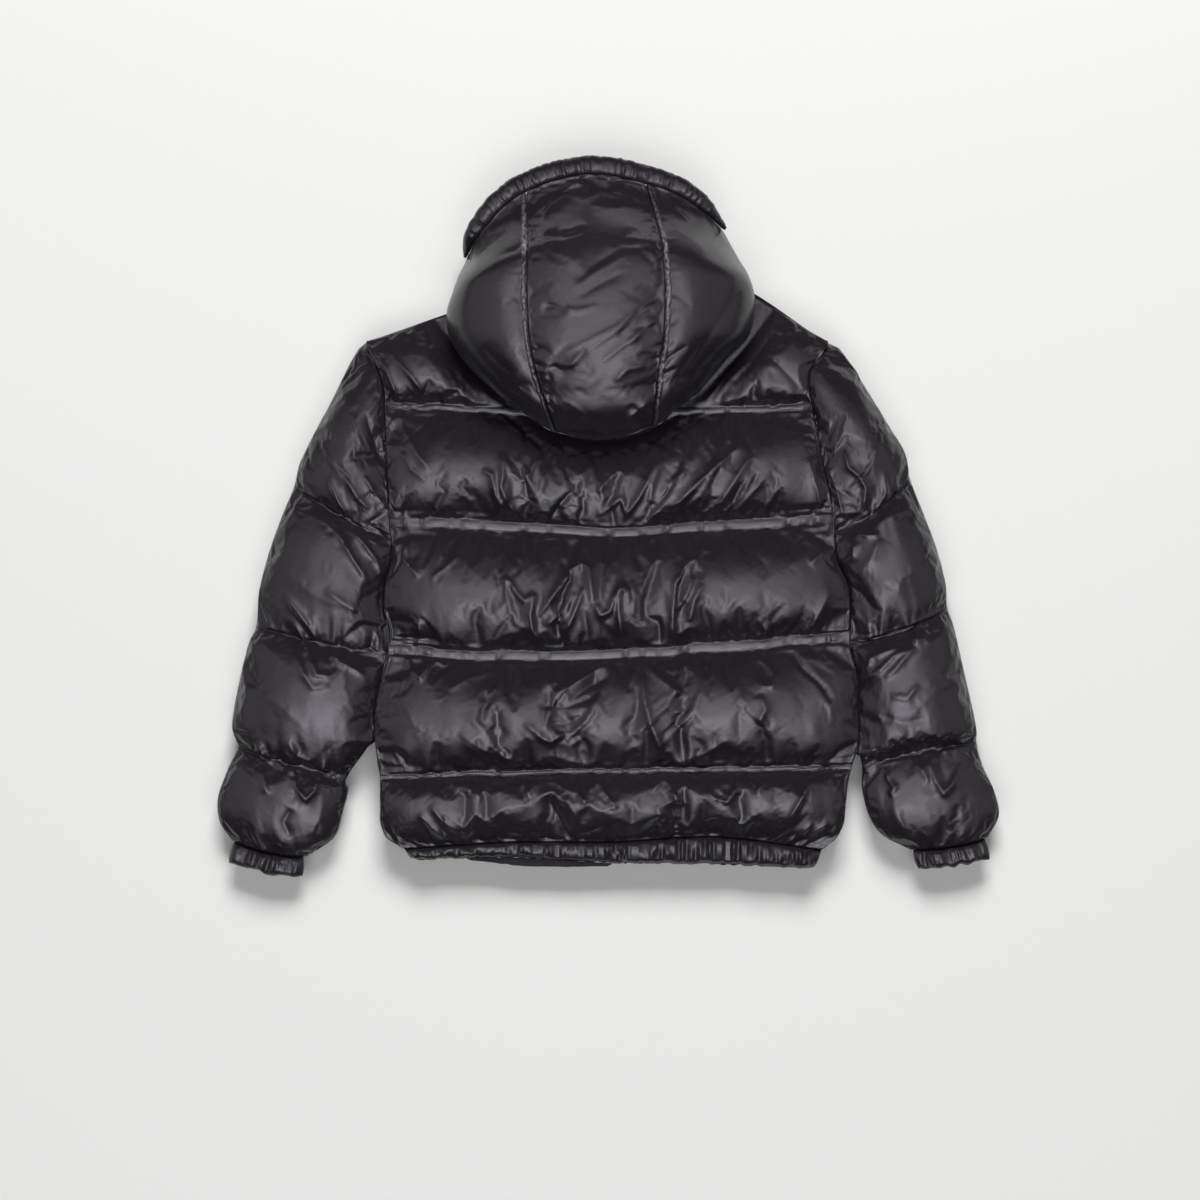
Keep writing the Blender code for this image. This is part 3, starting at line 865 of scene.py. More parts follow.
@dataclass
class BackPanel:
    """Padded back in five channels, lying on the fronts."""

    plan: BodyPlan
    steps: tuple = (24, 34, 34, 34, 22)
    columns: int = 140
    crown: float = 0.0185
    line_wall: float = 0.0055
    swell: tuple = (0.018, 0.055)
    pressure: float = 4.0
    crease_depth: float = 1.45
    most_z: float = 0.062

    def start(self) -> tuple:
        """Sheet before it inflates: low crowned channels with seeds of creases.

        Returns:
            The grid and where it is held.
        """
        u = spread(self.columns)
        plan, share, _, away = self.plan.grid(u, self.steps)
        x, y = plan[..., 0], plan[..., 1]
        side = (1 - np.abs(2 * u - 1) ** 7).clip(0) ** 0.5
        lean = np.where(y.mean(axis=1) < self.plan.lines[1][3], 1.7, 0.9)
        rise = np.sin(np.pi * share**lean) ** 0.65
        press = self.hood_press(x, y)
        seam = self.edge_height(y)
        line = seam + (MID_Z + self.line_wall - seam) * side
        z = line + self.crown * rise[:, None] * side * (1 - 0.8 * press)
        held = np.zeros(z.shape, bool)
        held[:, [0, -1]] = True
        held[(share == 0) | (share == 1)] = True
        held |= press > 0.75
        z += 0.0005 * noise(x / 0.012, y / 0.026, 11) * ~held
        for fold in self.creases():
            z += fold.lift(x, y) * ~held
        self.u, self.share, self.away = u, share, away
        middle = np.exp(-((np.abs(x - 0.005) / 0.115) ** 4))
        spare = (0.15 + 0.85 * middle) * np.interp(share, (0, 0.5, 1), (1.0, 0.75, 0.4))[:, None]
        return np.dstack([x, y, z]), held, spare

    @staticmethod
    def hood_press(x: np.ndarray, y: np.ndarray) -> np.ndarray:
        """Share by which the hood presses the yoke flat.

        Args:
            x: Plan places.
            y: Plan places.

        Returns:
            One under the hood, nothing past it.
        """
        reach = 0.056 + ((x + 0.008) / 0.150) ** 2 * 0.092
        return 1 / (1 + np.exp(-((y - reach) / 0.0075).clip(-30, 30)))

    @staticmethod
    def edge_height(y: np.ndarray) -> np.ndarray:
        """Height of the side seam, lifted along the armhole where the sleeve is sewn on.

        Args:
            y: Plan places.

        Returns:
            Height.
        """
        return MID_Z + 0.007 + 0.009 / (1 + np.exp(-((y + 0.025) / 0.012).clip(-30, 30)))

    @staticmethod
    def band(low: np.ndarray, high: np.ndarray, seed: int) -> tuple:
        """Rows of the flat stitched band between two channels.

        It is smooth in the middle, puckered at its ends, and notched.

        Args:
            low: Top row of the channel below.
            high: Bottom row of the channel above.
            seed: Seed of its puckers.

        Returns:
            Three rows and their share of painted highlight.
        """
        share = np.array([0.12, 0.5, 0.88])[:, None, None]
        rows = low[None] * (1 - share) + high[None] * share
        x = rows[..., 0]
        pucker = noise(x / 0.0075, share[..., 0] * 1.5, seed)
        ends = np.clip((np.abs(x - 0.004) - 0.120) / 0.060, 0, 1)
        notch = np.clip(2.6 * noise(x / 0.0085, 0.4 * share[..., 0], seed + 5) - 1.0, 0, 1)
        rows[..., 2] += 0.0006 + (0.0003 + 0.0012 * ends) * pucker - 0.0012 * notch
        # The second value is a painted highlight on the band's colour, less where it is notched and at its
        # puckered ends
        return rows, 0.22 * (1 - notch) * (1 - 0.4 * ends)

    @staticmethod
    def creases() -> list:
        """Largest creases of the back, from the hem up.

        Returns:
            The folds.
        """
        table = (
            # x0, y0, x1, y1, rise, width, bow
            (-118, -10, -98, 54, 1.4, 5, 4),
            (-92, 58, -74, 18, 1.6, 4, -3),
            (-74, 18, -60, 60, 1.8, 4, 3),
            (-56, 62, -36, 14, 1.8, 5, -2),
            (-34, 12, -22, 52, 1.7, 4, 2),
            (-18, 54, -2, 16, 1.5, 4, 0),
            (4, 12, 16, 46, 1.2, 4, 2),
            (40, 0, 78, 66, 2.0, 7, 8),
            (58, -4, 108, 58, 1.7, 6, 9),
            (82, 0, 132, 40, 1.4, 6, 8),
            (-104, -56, -86, -112, 1.6, 5, 4),
            (-82, -112, -70, -66, 1.6, 5, -3),
            (-66, -60, -48, -104, 1.8, 4, 3),
            (-44, -106, -28, -48, 2.0, 4, -3),
            (-24, -46, -12, -92, 1.8, 4, 2),
            (-8, -94, 6, -50, 1.8, 4, -2),
            (10, -48, 22, -98, 1.9, 4, 2),
            (30, -102, 46, -44, 1.8, 4, -4),
            (52, -46, 66, -88, 1.6, 5, 3),
            (74, -86, 92, -34, 1.4, 5, -4),
            (22, -216, 74, -152, 1.9, 6, 9),
            (34, -198, 88, -168, 1.7, 5, -6),
            (56, -222, 98, -158, 1.6, 5, 6),
            (-62, -212, -34, -158, 1.6, 6, -6),
            (-40, -220, -6, -166, 1.5, 5, 5),
            (-150, -196, -110, -236, 1.2, 7, -8),
            (126, -160, 168, -214, 1.4, 7, 9),
            (-206, -160, -176, -218, 1.6, 7, 10),
            (182, -150, 222, -206, 1.6, 7, -10),
        )
        return [Fold(*row) for row in table]

    def finish(self, puffed: np.ndarray) -> bpy.types.Object:
        """Closes the inflated sheet into the panel.

        Args:
            puffed: The inflated grid.

        Returns:
            The object.
        """
        z = np.minimum(puffed[..., 2], self.most_z)
        edge = 0.0775 + ((puffed[..., 0] + 0.008) / 0.150) ** 2 * 0.098
        valley = MID_Z + 0.0045 + 0.6 * np.maximum(edge - puffed[..., 1], 0)
        z = -0.002 * np.logaddexp(-z / 0.002, -valley / 0.002)
        left, right = self.plan.side(puffed[..., 1], False), self.plan.side(puffed[..., 1], True)
        x = np.clip(puffed[..., 0], left, right)
        puffed = np.dstack([x, puffed[..., 1], np.maximum(z, MID_Z + 0.001)])
        breaks = np.nonzero(self.share == 0)[0].tolist() + [len(puffed)]
        parts, painted_highlight = [], []
        for k, (a, b) in enumerate(zip(breaks, breaks[1:])):
            part = finer(puffed[a:b])
            x, y = part[..., 0], part[..., 1]
            even = np.interp(np.linspace(0, 1, len(part)), np.linspace(0, 1, b - a), self.away[a:b])
            away = even[:, None] + 0 * x
            seed = 21 + 7 * k
            lift = puckers(x, away, seed, 0.0012, 0.012)
            lift += puckers(x, away, seed + 1, 0.0009, 0.026, 0.012)
            lift += self.crease_depth * sum(crease.lift(x, y) for crease in BACK_CREASES)
            fade = np.clip(away / 0.004, 0, 1)
            part[1:-1, 1:-1] += (normals_of(part) * (lift * fade)[..., None])[1:-1, 1:-1]
            part[..., 1] = np.clip(part[..., 1], part[:1, :, 1], part[-1:, :, 1])
            if parts:
                rows, share = self.band(parts[-1][-1], part[0], 200 + k)
                parts.append(rows)
                painted_highlight.append(share)
            parts.append(part)
            painted_highlight.append(np.zeros(x.shape))
        piece = lidded("back_panel", np.concatenate(parts), MID_Z + SEAM)
        # The bands' painted highlight goes to the finish
        mark_painted_highlight(piece, np.concatenate(painted_highlight))
        return piece


@dataclass
class FrontPanel:
    """One padded front, hidden underneath, flat where its channels rest."""

    plan: BodyPlan
    left: bool
    columns: int = 60
    steps: tuple = (12, 16, 16, 16, 12)
    groove: float = 0.010
    zip_half: float = 0.0126

    def build(self) -> bpy.types.Object:
        """Builds the front between the back and the floor.

        Returns:
            The object.
        """
        part = spread(self.columns)
        u = 0.5 * part if self.left else 0.5 + 0.5 * part
        plan, share, _, away = self.plan.grid(u, self.steps)
        edge = zip_centre(plan[..., 1]) + (-1 if self.left else 1) * self.zip_half
        side = plan[:, :1, 0] if self.left else plan[:, -1:, 0]
        x = side * (1 - part) + edge * part if self.left else edge * (1 - part) + side * part
        y = plan[..., 1]
        near = np.minimum(part, 1 - part)[None, :]
        inner = (1 - (1 - near * 4).clip(0) ** 3) ** 0.5
        full = (1.25 * np.sin(np.pi * share) ** 0.62).clip(0, 1)[:, None]
        depth = MID_Z - SEAM / 2 - self.groove
        wall = 0.0018 + (depth - 0.0018) * inner + self.groove * full * inner
        low = MID_Z - SEAM / 2 - wall
        reach = np.broadcast_to(away[:, None], x.shape)
        seed = 51 if self.left else 61
        dent = puckers(x, reach, seed, 0.0016, 0.020) + 0.0009 * noise(x / 0.03, y / 0.02, seed + 5)
        low[1:-1, 1:-1] = np.maximum(low + np.abs(dent) * inner, 0.0001)[1:-1, 1:-1]
        top = np.dstack([x, y, np.full(x.shape, MID_Z - SEAM / 2)])
        name = "front_panel_left" if self.left else "front_panel_right"
        piece = slab(name, top, np.dstack([x, y, low]))
        return piece


def zip_centre(y: np.ndarray) -> np.ndarray:
    """Centre of the front zip.

    Args:
        y: Plan heights.

    Returns:
        Its x.
    """
    return np.interp(y, (-0.3445, 0.2220), (0.0060, -0.0070))


@dataclass
class HemCasing:
    """Elastic casing along the hem, gathered on its elastic and rolled over at its lower edge."""

    plan: BodyPlan
    bottom: tuple = (-0.3430, -0.3400, -0.3455, -0.3470, -0.3515)
    thick: float = 0.0085
    roll: tuple = ((0.0, 0.45), (0.12, 0.86), (0.35, 1.0), (0.6, 1.0), (0.82, 0.82), (0.95, 0.5), (1.0, 0.12))

    def build(
        self, name: str, start: float, end: float, upper: bool, columns: int, seed: int
    ) -> bpy.types.Object:
        """Builds a stretch of the casing.

        Args:
            name: Name of the piece.
            start: Share across where it starts.
            end: Share across where it ends.
            upper: Whether it lies on the back or on the fronts.
            columns: Points along it.
            seed: Seed of its gathers.

        Returns:
            The object.
        """
        u = np.linspace(start, end, columns)
        line = self.plan.height(self.plan.lines[0], u) - SEAM
        low = smooth(u, FIFTHS, np.array(self.bottom))
        left, right = self.plan.side(-0.331, False), self.plan.side(-0.332, True)
        x0 = left + (right - left) * u
        inset = np.interp(u, (0, 0.05, 0.95, 1), (0.004, 0.001, -0.001, -0.004))
        ends = np.interp(u, (0, 0.02, 0.98, 1), (0.35, 1, 1, 0.35))
        down = np.linspace(0, 1, 13)
        rise = np.interp(down, *zip(*self.roll))
        rise = rise[:, None] * ends
        gather = noise(x0 / 0.0042 + 0.4 * noise(x0 / 0.02, 0.0, seed), down[:, None] * 1.1, seed)
        gather = gather + 0.6 * noise(x0 / 0.0095, down[:, None] * 0.8, seed + 1)
        gather *= 0.0024 + 0.0012 * np.clip((x0 + 0.04) / 0.05, 0, 1)
        lift = self.thick * rise + gather * np.sin(np.pi * down[:, None] ** 0.8).clip(0.12) * ends
        low = low + 0.006 * (np.exp(-u / 0.008) + np.exp(-(1 - u) / 0.008))
        y = line + (low - line) * down[:, None] + 0.0010 * noise(x0 / 0.0055, 0.0, seed + 2) * down[:, None]
        x = x0 + inset * down[:, None]
        sign = 1 if upper else -1
        base = MID_Z + sign * SEAM / 2
        far = np.dstack([x, y, base + sign * np.maximum(lift, 0.0006)])[::-1]
        near = np.dstack([x, y, np.full(x.shape, base)])[::-1]
        piece = slab(name, far, near) if upper else slab(name, near, far)
        return piece


@dataclass
class HemFacing:
    """Matt inside face of the left front's hem, which shows below the back hem."""

    plan: BodyPlan
    casing: HemCasing
    span: tuple = (-0.1420, 0.0030)
    reach: tuple = (0.0015, 0.0072, 0.0034)
    thick: float = 0.0016

    def build(self) -> bpy.types.Object:
        """Builds the facing.

        Returns:
            The object.
        """
        share = np.linspace(0, 1, 90)
        x = self.span[0] + (self.span[1] - self.span[0]) * share
        left, right = self.plan.side(-0.331, False), self.plan.side(-0.332, True)
        edge = smooth((x - left) / (right - left), FIFTHS, np.array(self.casing.bottom)) - SEAM
        reach = smooth(share, (0, 0.3, 1), self.reach) + 0.0005 * noise(x / 0.006, 0 * x, 73)
        reach = reach * np.clip(np.minimum(share, 1 - share) / 0.03, 0.3, 1) ** 0.5
        down = np.linspace(1, 0, 7)[:, None]
        y = edge - reach * down
        wave = 0.0007 * noise(x / 0.016, down * 0.6, 71)
        x = np.broadcast_to(x, y.shape)
        top = np.dstack([x, y, MID_Z + 0.002 + wave])
        piece = slab("hem_facing_tape", top, top - np.array([0, 0, self.thick]))
        return piece


# --------------------------------------------------------------------------- sleeves


@dataclass
class Sleeve:
    """Flattened padded sleeve in four channels, flat where it rests."""

    plan: BodyPlan
    left: bool
    stations: tuple
    cuff_end: tuple
    folds: tuple
    creases: tuple
    body_gap: float = SEAM
    steps: tuple = (44, 38, 38, 34)
    breaks: tuple = (0, 5, 9, 13, 17)
    columns: int = 45
    under_columns: int = 16
    middle: float = 0.018
    pinch_lift: float = 0.007
    swell: tuple = (0.015, 0.035)
    pressure: float = 4.0
    crease_depth: float = 1.4
    most_z: float = 0.066

    def __post_init__(self) -> None:
        """Works out the station, share in its channel and distance to a seam of each row."""
        t, share, away = [], [], []
        for k, (a, b) in enumerate(zip(self.breaks, self.breaks[1:])):
            part = np.linspace(0, 1, self.steps[k] + 1)[(1 if k else 0) :]
            t.append(a + (b - a) * part)
            share.append(part)
            rows = np.array(self.stations)[[a, b]]
            long = np.hypot(*np.diff((rows[:, 0:2] + rows[:, 2:4]) / 2, axis=0)[0])
            away.append(np.minimum(part, 1 - part) * long)
        self.t, self.share, self.away = (np.concatenate(v) for v in (t, share, away))

    def ends_of(self, t: np.ndarray) -> tuple:
        """Outer edge, inner edge, and the bow of the sleeve at some stations.

        Args:
            t: Station numbers, with fractions.

        Returns:
            Outer points, inner points and bows.
        """
        table = np.array(self.stations)
        places = np.arange(len(table))
        outer = np.stack([smooth(t, places, table[:, i]) for i in (0, 1)], axis=-1)
        inner = np.stack([smooth(t, places, table[:, i]) for i in (2, 3)], axis=-1)
        out = -1 if self.left else 1
        limit = self.plan.side(inner[:, 1], not self.left) + out * self.body_gap
        inner[:, 0] = np.where(out * (limit - inner[:, 0]) > -0.004, limit, inner[:, 0])
        return outer, inner, np.interp(t, places, table[:, 4])

    def section(self, t: np.ndarray, a: np.ndarray) -> np.ndarray:
        """Plan points across the sleeve.

        Args:
            t: Station numbers.
            a: Places across, from -1 at the outer edge to 1 at the inner edge.

        Returns:
            Points, stations by places by 2.
        """
        outer, inner, bow = self.ends_of(t)
        side = inner - outer
        side /= np.linalg.norm(side, axis=-1, keepdims=True)
        away = np.sign(side[:, :1]) * np.column_stack([side[:, 1], -side[:, 0]])
        bend = (bow[:, None] * (1 - a[None, :] ** 2))[..., None] * away[:, None, :]
        half = (1 + a[None, :, None]) / 2
        plan = outer[:, None, :] * (1 - half) + inner[:, None, :] * half + bend
        seam = self.plan.side(plan[..., 1], not self.left) + (-1 if self.left else 1) * self.body_gap
        free = 1 - np.clip(-a, 0, 1) ** 6 * np.clip(t / 0.3, 0, 1)[:, None]
        pull = np.clip(1 - t / 1.6, 0, 1)[:, None] ** 1.5 * free
        plan[..., 0] += (seam - plan[..., 0]) * pull
        return plan

    def start(self) -> tuple:
        """Upper sheet before it inflates.

        Returns:
            The grid and where it is held.
        """
        a = -np.cos(np.linspace(0, np.pi, self.columns))
        a = 0.6 * a + 0.4 * np.linspace(-1, 1, self.columns)
        plan = self.section(self.t, a)
        table = np.array(self.stations)
        pinched = np.interp(self.t, self.breaks, table[list(self.breaks), 5])
        tops = [table[x : y + 1, 5].max() for x, y in zip(self.breaks, self.breaks[1:])]
        k = np.clip(np.searchsorted(self.breaks, self.t, side="right") - 1, 0, len(tops) - 1)
        rise = np.sin(np.pi * self.share**0.92) ** 0.65
        crown = pinched + 0.62 * (np.array(tops)[k] - pinched) * rise
        shape = (1 - np.abs(a) ** 2.2) ** 0.58
        inner = np.clip(a, 0, 1) ** 3
        edge = self.edge_height(self.t)[:, None] * inner + self.middle * (1 - inner)
        z = np.maximum(edge, edge + (crown[:, None] - edge) * shape)
        held = np.zeros(z.shape, bool)
        held[:, [0, -1]] = True
        held[(self.share == 0) | (self.share == 1)] = True
        x, y = plan[..., 0], plan[..., 1]
        z += 0.0005 * noise(x / 0.012, y / 0.026, 81 + self.left) * ~held
        for fold in self.folds:
            z += Fold(*fold).lift(x, y) * ~held
        along = np.interp(self.share, (0, 0.4, 1), (0.3, 0.6, 1.0))[:, None]
        spare = along * np.interp(a, (-1, 0, 1), (0.1, 0.5, 1.0))
        return np.dstack([plan, z]), held, spare

    def edge_height(self, t: np.ndarray) -> np.ndarray:
        """Height of the inner edge: high along the armhole, lower beside the body, low by the wrist.

        Args:
            t: Station numbers.

        Returns:
            Heights.
        """
        return np.interp(t, (0, 4.5, 6.5, 12, 13.5, 17), (0.034, 0.034, 0.026, 0.026, 0.018, 0.018))

    def finish(self, puffed: np.ndarray) -> bpy.types.Object:
        """Closes the inflated sheet with its flat underside.

        Args:
            puffed: The inflated grid.

        Returns:
            The object.
        """
        out = -1 if self.left else 1
        limit = self.plan.side(puffed[..., 1], not self.left) + out * self.body_gap
        inside = (out * (limit - puffed[..., 0]) > 0) & (puffed[..., 1] > -0.235)
        puffed[..., 0] = np.where(inside, limit, puffed[..., 0])
        puffed[..., 2] = np.clip(puffed[..., 2], self.middle, self.most_z)
        grid = finer(puffed)
        even = np.linspace(0, 1, len(self.t))
        fine = np.linspace(0, 1, len(grid))
        t, away = np.interp(fine, even, self.t), np.interp(fine, even, self.away)
        run = np.linalg.norm(grid[..., :2] - grid[:, :1, :2], axis=-1)
        channel = np.searchsorted(self.breaks, t, side="right")[:, None] * 0.37
        lift = puckers(run + channel, away[:, None] + 0 * run, 91 + self.left, 0.0020, 0.020)
        lift += puckers(run + 3 * channel, away[:, None] + 0 * run, 95 + self.left, 0.0017, 0.036, 0.011)
        down = np.linalg.norm(np.diff(grid[:, -1], axis=0, prepend=grid[:1, -1]), axis=-1).cumsum()[:, None]
        from_seam = np.linalg.norm(grid[..., :2] - grid[:, -1:, :2], axis=-1)
        top_share = np.interp(t, (0, 3, 9, 17), (1.0, 1.0, 0.5, 0.3))[:, None]
        lift += top_share * puckers(down + 0 * run, from_seam, 99 + self.left, 0.0014, 0.014, 0.006)
        lift += self.crease_depth * sum(crease.lift(grid[..., 0], grid[..., 1]) for crease in self.creases)
        lift *= 0.2 + 0.8 * np.clip((run - 0.006) / 0.03, 0, 1)
        grid[1:-1, 1:-1] += (normals_of(grid) * lift[..., None])[1:-1, 1:-1]
        under_a = np.linspace(1, -1, self.under_columns * 2 + 1)[1:-1]
        plan = self.section(t, under_a)
        k = np.interp(t, self.breaks, np.arange(len(self.breaks)))
        pinch = np.exp(-((np.abs(k - np.round(k)) / 0.09) ** 1.4))
        flat = np.minimum(1.04 * (1 - np.abs(under_a) ** 5) ** 0.5, 1)
        slant = plan[..., 1] + plan[..., 0]
        dent = np.abs(puckers(slant, away[:, None] + 0 * slant, 103, 0.0016, 0.018))
        low = self.middle - (self.middle - self.pinch_lift * pinch[:, None] - dent) * flat
        rings = np.concatenate([grid, np.dstack([plan, np.maximum(low, 0.0001)])], axis=1)
        piece = tube("sleeve_body_left" if self.left else "sleeve_body_right", rings)
        return piece

    def cuff(self) -> bpy.types.Object:
        """Elastic casing at the wrist, gathered, with its flattened opening.

        Returns:
            The object.
        """
        last = np.array(self.stations[-1])
        inset = np.array((0.02, 0.02, -0.02, -0.02)) * np.resize(last[2:4] - last[0:2], 4)
        end = np.array(self.cuff_end)
        away = np.resize((end[0:2] + end[2:4] - last[0:2] - last[2:4]) / 2, 4)
        away /= np.linalg.norm(away[:2])
        first = last[:4] + inset + away * 2 * SEAM
        profile = ((0.0, 0.74), (0.08, 0.92), (0.25, 1.0), (0.5, 1.03))
        profile += ((0.75, 1.01), (0.9, 0.94), (0.97, 0.84), (1.0, 0.7))
        share = np.linspace(0, 1, 21)
        crown = np.interp(share, *zip(*profile))
        across = np.linspace(-1, 1, 110)
        rings = []
        for s, rise in [*zip(share, crown), (0.985, 0.42), (0.6, 0.36)]:
            inner_wall = rise < 0.5
            spot = first + (end - first) * s
            a = across * (0.90 if inner_wall else 1 - 0.07 * (1 - math.sin(math.pi * (0.15 + 0.7 * s))))
            place = spot[None, 0:2] * (1 - a[:, None]) / 2 + spot[None, 2:4] * (1 + a[:, None]) / 2
            bend = last[4] * (1 - a**2)
            place = place + bend[:, None] * np.array([0.0, -1.0])
            seed = 111 + self.left
            wave = noise(across * 7 + 0.6 * noise(across * 3, s * 1.5, seed), s * 0.6, seed)
            wave += 0.5 * noise(across * 15, s * 0.9, seed + 3)
            strength = 0.0 if inner_wall else 0.0034 * np.sin(np.pi * (0.12 + 0.8 * s))
            place = place + away[None, :2] * 0.0016 * (noise(across * 5, 0 * across, seed + 6) * s)[:, None]
            body = (1 - np.abs(across) ** 2.6) ** 0.55
            reach = 0.0016 if inner_wall else 0.026 * rise - self.middle
            top = self.middle + reach * body + strength * wave * body
            wave_low = noise(across * 11, s * 0.9, seed + 9)
            drop = 0.0016 if inner_wall else self.middle - 0.004 - strength * np.abs(wave_low)
            low = self.middle - drop * body
            upper = np.column_stack([place, np.maximum(top, self.middle)])
            under = np.column_stack([place, np.clip(low, 0.0002, self.middle)])[-2:0:-1]
            rings.append(np.concatenate([upper, under]))
        piece = tube("cuff_casing_left" if self.left else "cuff_casing_right", np.array(rings))
        return piece


# --------------------------------------------------------------------------- hood


@dataclass
class Hood:
    """Hood folded over the back: three padded panels, the gathered casing and the layers under them."""

    sides: tuple = (
        # share up, left x, left y, right x, right y
        (0.00, -0.0950, 0.1100, 0.0850, 0.1190),
        (0.18, -0.1370, 0.1480, 0.1180, 0.1580),
        (0.36, -0.1570, 0.1760, 0.1390, 0.1800),
        (0.55, -0.1615, 0.2020, 0.1460, 0.2110),
        (0.76, -0.1545, 0.2280, 0.1400, 0.2420),
        (1.00, -0.1425, 0.2600, 0.1160, 0.2880),
    )
    ends: tuple = (
        # share across, bottom x, bottom y, top x, top y
        (0.00, -0.0950, 0.1100, -0.1425, 0.2600),
        (0.15, -0.0770, 0.0990, -0.1240, 0.2880),
        (0.32, -0.0545, 0.0850, -0.0860, 0.3220),
        (0.50, -0.0040, 0.0775, -0.0220, 0.3410),
        (0.68, 0.0460, 0.0900, 0.0410, 0.3308),
        (0.85, 0.0650, 0.1055, 0.0820, 0.3140),
        (1.00, 0.0850, 0.1190, 0.1160, 0.2880),
    )
    seams: tuple = (0.335, 0.665)
    height: float = 0.100
    mouth: float = 0.052
    edge: float = 0.038
    step: float = 0.250
    foot: float = 0.010
    wall: float = 0.007
    lip: float = 0.003
    rows: int = 72
    columns: tuple = (30, 32, 30)
    swell: tuple = (0.012, 0.03)
    pressure: float = 3.0
    most_z: float = 0.106

    def plan(self, s: np.ndarray, t: np.ndarray) -> np.ndarray:
        """Plan points: the patch between four edges, its rows plus its columns less its corners.

        Args:
            s: Shares across.
            t: Shares up.

        Returns:
            Points, with a last axis of 2.
        """
        side, end = np.array(self.sides), np.array(self.ends)
        points = []
        for at in (0, 1):
            left, right = (smooth(t, side[:, 0], side[:, column + at]) for column in (1, 3))
            rows = left * (1 - s) + right * s
            cols = smooth(s, end[:, 0], end[:, 1 + at]) * (1 - t) + smooth(s, end[:, 0], end[:, 3 + at]) * t
            a, b, c, d = side[0, 1 + at], side[0, 3 + at], side[-1, 1 + at], side[-1, 3 + at]
            points.append(rows + cols - (a * (1 - s) + b * s) * (1 - t) - (c * (1 - s) + d * s) * t)
        return np.stack(points, axis=-1)

    def surface(self, s: np.ndarray, t: np.ndarray, inset: float = 0.0) -> np.ndarray:
        """Arched surface of the hood, or one that is inset below it.

        Its height is the rim's plus an arch across times a rise up the hood, never under its mouth.

        Args:
            s: Shares across.
            t: Shares up.
            inset: Distance inside the outer surface.

        Returns:
            Points.
        """
        plan = self.plan(s, t)
        centre = self.plan(np.full_like(s, 0.5), np.full_like(t, 0.5))
        over = 1 / (1 + np.exp((plan[..., 1] - self.step) / 0.005))
        rim = self.foot + (self.edge - self.foot) * over
        side = (1 - np.abs(2 * s - 1) ** 2.8) ** 0.55
        places = (0, 0.05, 0.15, 0.32, 0.52, 0.70, 0.86, 1.0)
        rises = (0.0, 0.40, 0.69, 0.91, 0.99, 0.99, 0.86, 0.63)
        top = rim + (self.height - rim) * side * smooth(t, places, rises)
        mouth = rim + (self.mouth - rim) * side
        part = np.clip((t - 0.70) / 0.30, 0, 1)
        z = np.maximum(top + (mouth - top) * part * part * (3 - 2 * part), np.minimum(top, mouth))
        if inset:
            away = plan - centre
            length = np.linalg.norm(away, axis=-1, keepdims=True).clip(1e-6)
            plan = plan - away / length * inset * np.clip(length / 0.09, 0, 1)
            return np.dstack([plan, np.maximum(z - inset, rim)])
        return np.dstack([plan, np.maximum(z, rim + self.lip)])

    def shares(self, panel: int) -> tuple:
        """Shares across and up of one panel's grid.

        Args:
            panel: 0 left, 1 centre, 2 right.

        Returns:
            Grids of shares across and up.
        """
        start = (0.0, self.seams[0], self.seams[1] + 0.0045)[panel]
        end = (self.seams[0] - 0.0045, self.seams[1], 1.0)[panel]
        up = spread(self.rows)
        return np.meshgrid(start + (end - start) * spread(self.columns[panel]), up)

    def start(self, panel: int) -> tuple:
        """Sheet of one panel before it inflates, drawn down at its seams.

        Args:
            panel: 0 left, 1 centre, 2 right.

        Returns:
            The grid and where it is held.
        """
        s, t = self.shares(panel)
        grid = self.surface(s, t)
        x, y = grid[..., 0], grid[..., 1]
        middle = np.clip(1 - np.abs(2 * (s - s[:, :1]) / (s[:, -1:] - s[:, :1]) - 1), 0, 1)
        drawn = 0.0040 * np.exp(-middle / 0.18) * np.sin(np.pi * t.clip(0.02, 0.98)) ** 0.5
        if panel == 1:
            grid[..., 2] -= drawn
        else:
            across = (s - s[:, :1]) / (s[:, -1:] - s[:, :1])
            near = 1 - across if panel == 2 else across
            grid[..., 2] -= drawn * (near > 0.5)
        grid[..., 2] -= 0.003 * np.sin(np.pi * t)
        held = np.zeros(s.shape, bool)
        held[[0, -1]] = True
        held[:, [0, -1]] = True
        grid[..., 2] += (0.0005 if panel == 1 else 0.0002) * noise(x / 0.014, y / 0.024, 121 + panel) * ~held
        for fold in self.creases():
            grid[..., 2] += fold.lift(x, y) * ~held
        return grid, held, np.full(s.shape, 0.1 if panel != 1 else 0.8)

    @staticmethod
    def creases() -> list:
        """Largest creases of the hood.

        Returns:
            The folds.
        """
        table = (
            (-68, 276, -40, 279, -2.0, 4, 1),
            (-58, 262, -20, 250, 1.4, 7, 4),
            (-48, 160, -10, 130, 1.6, 7, -5),
            (14, 96, 42, 120, 1.6, 4, 3),
            (20, 110, 48, 96, -1.2, 3, 0),
            (-50, 116, -20, 96, 1.4, 5, -3),
            (-30, 200, 30, 214, 1.2, 9, 5),
        )
        return [Fold(*row) for row in table]

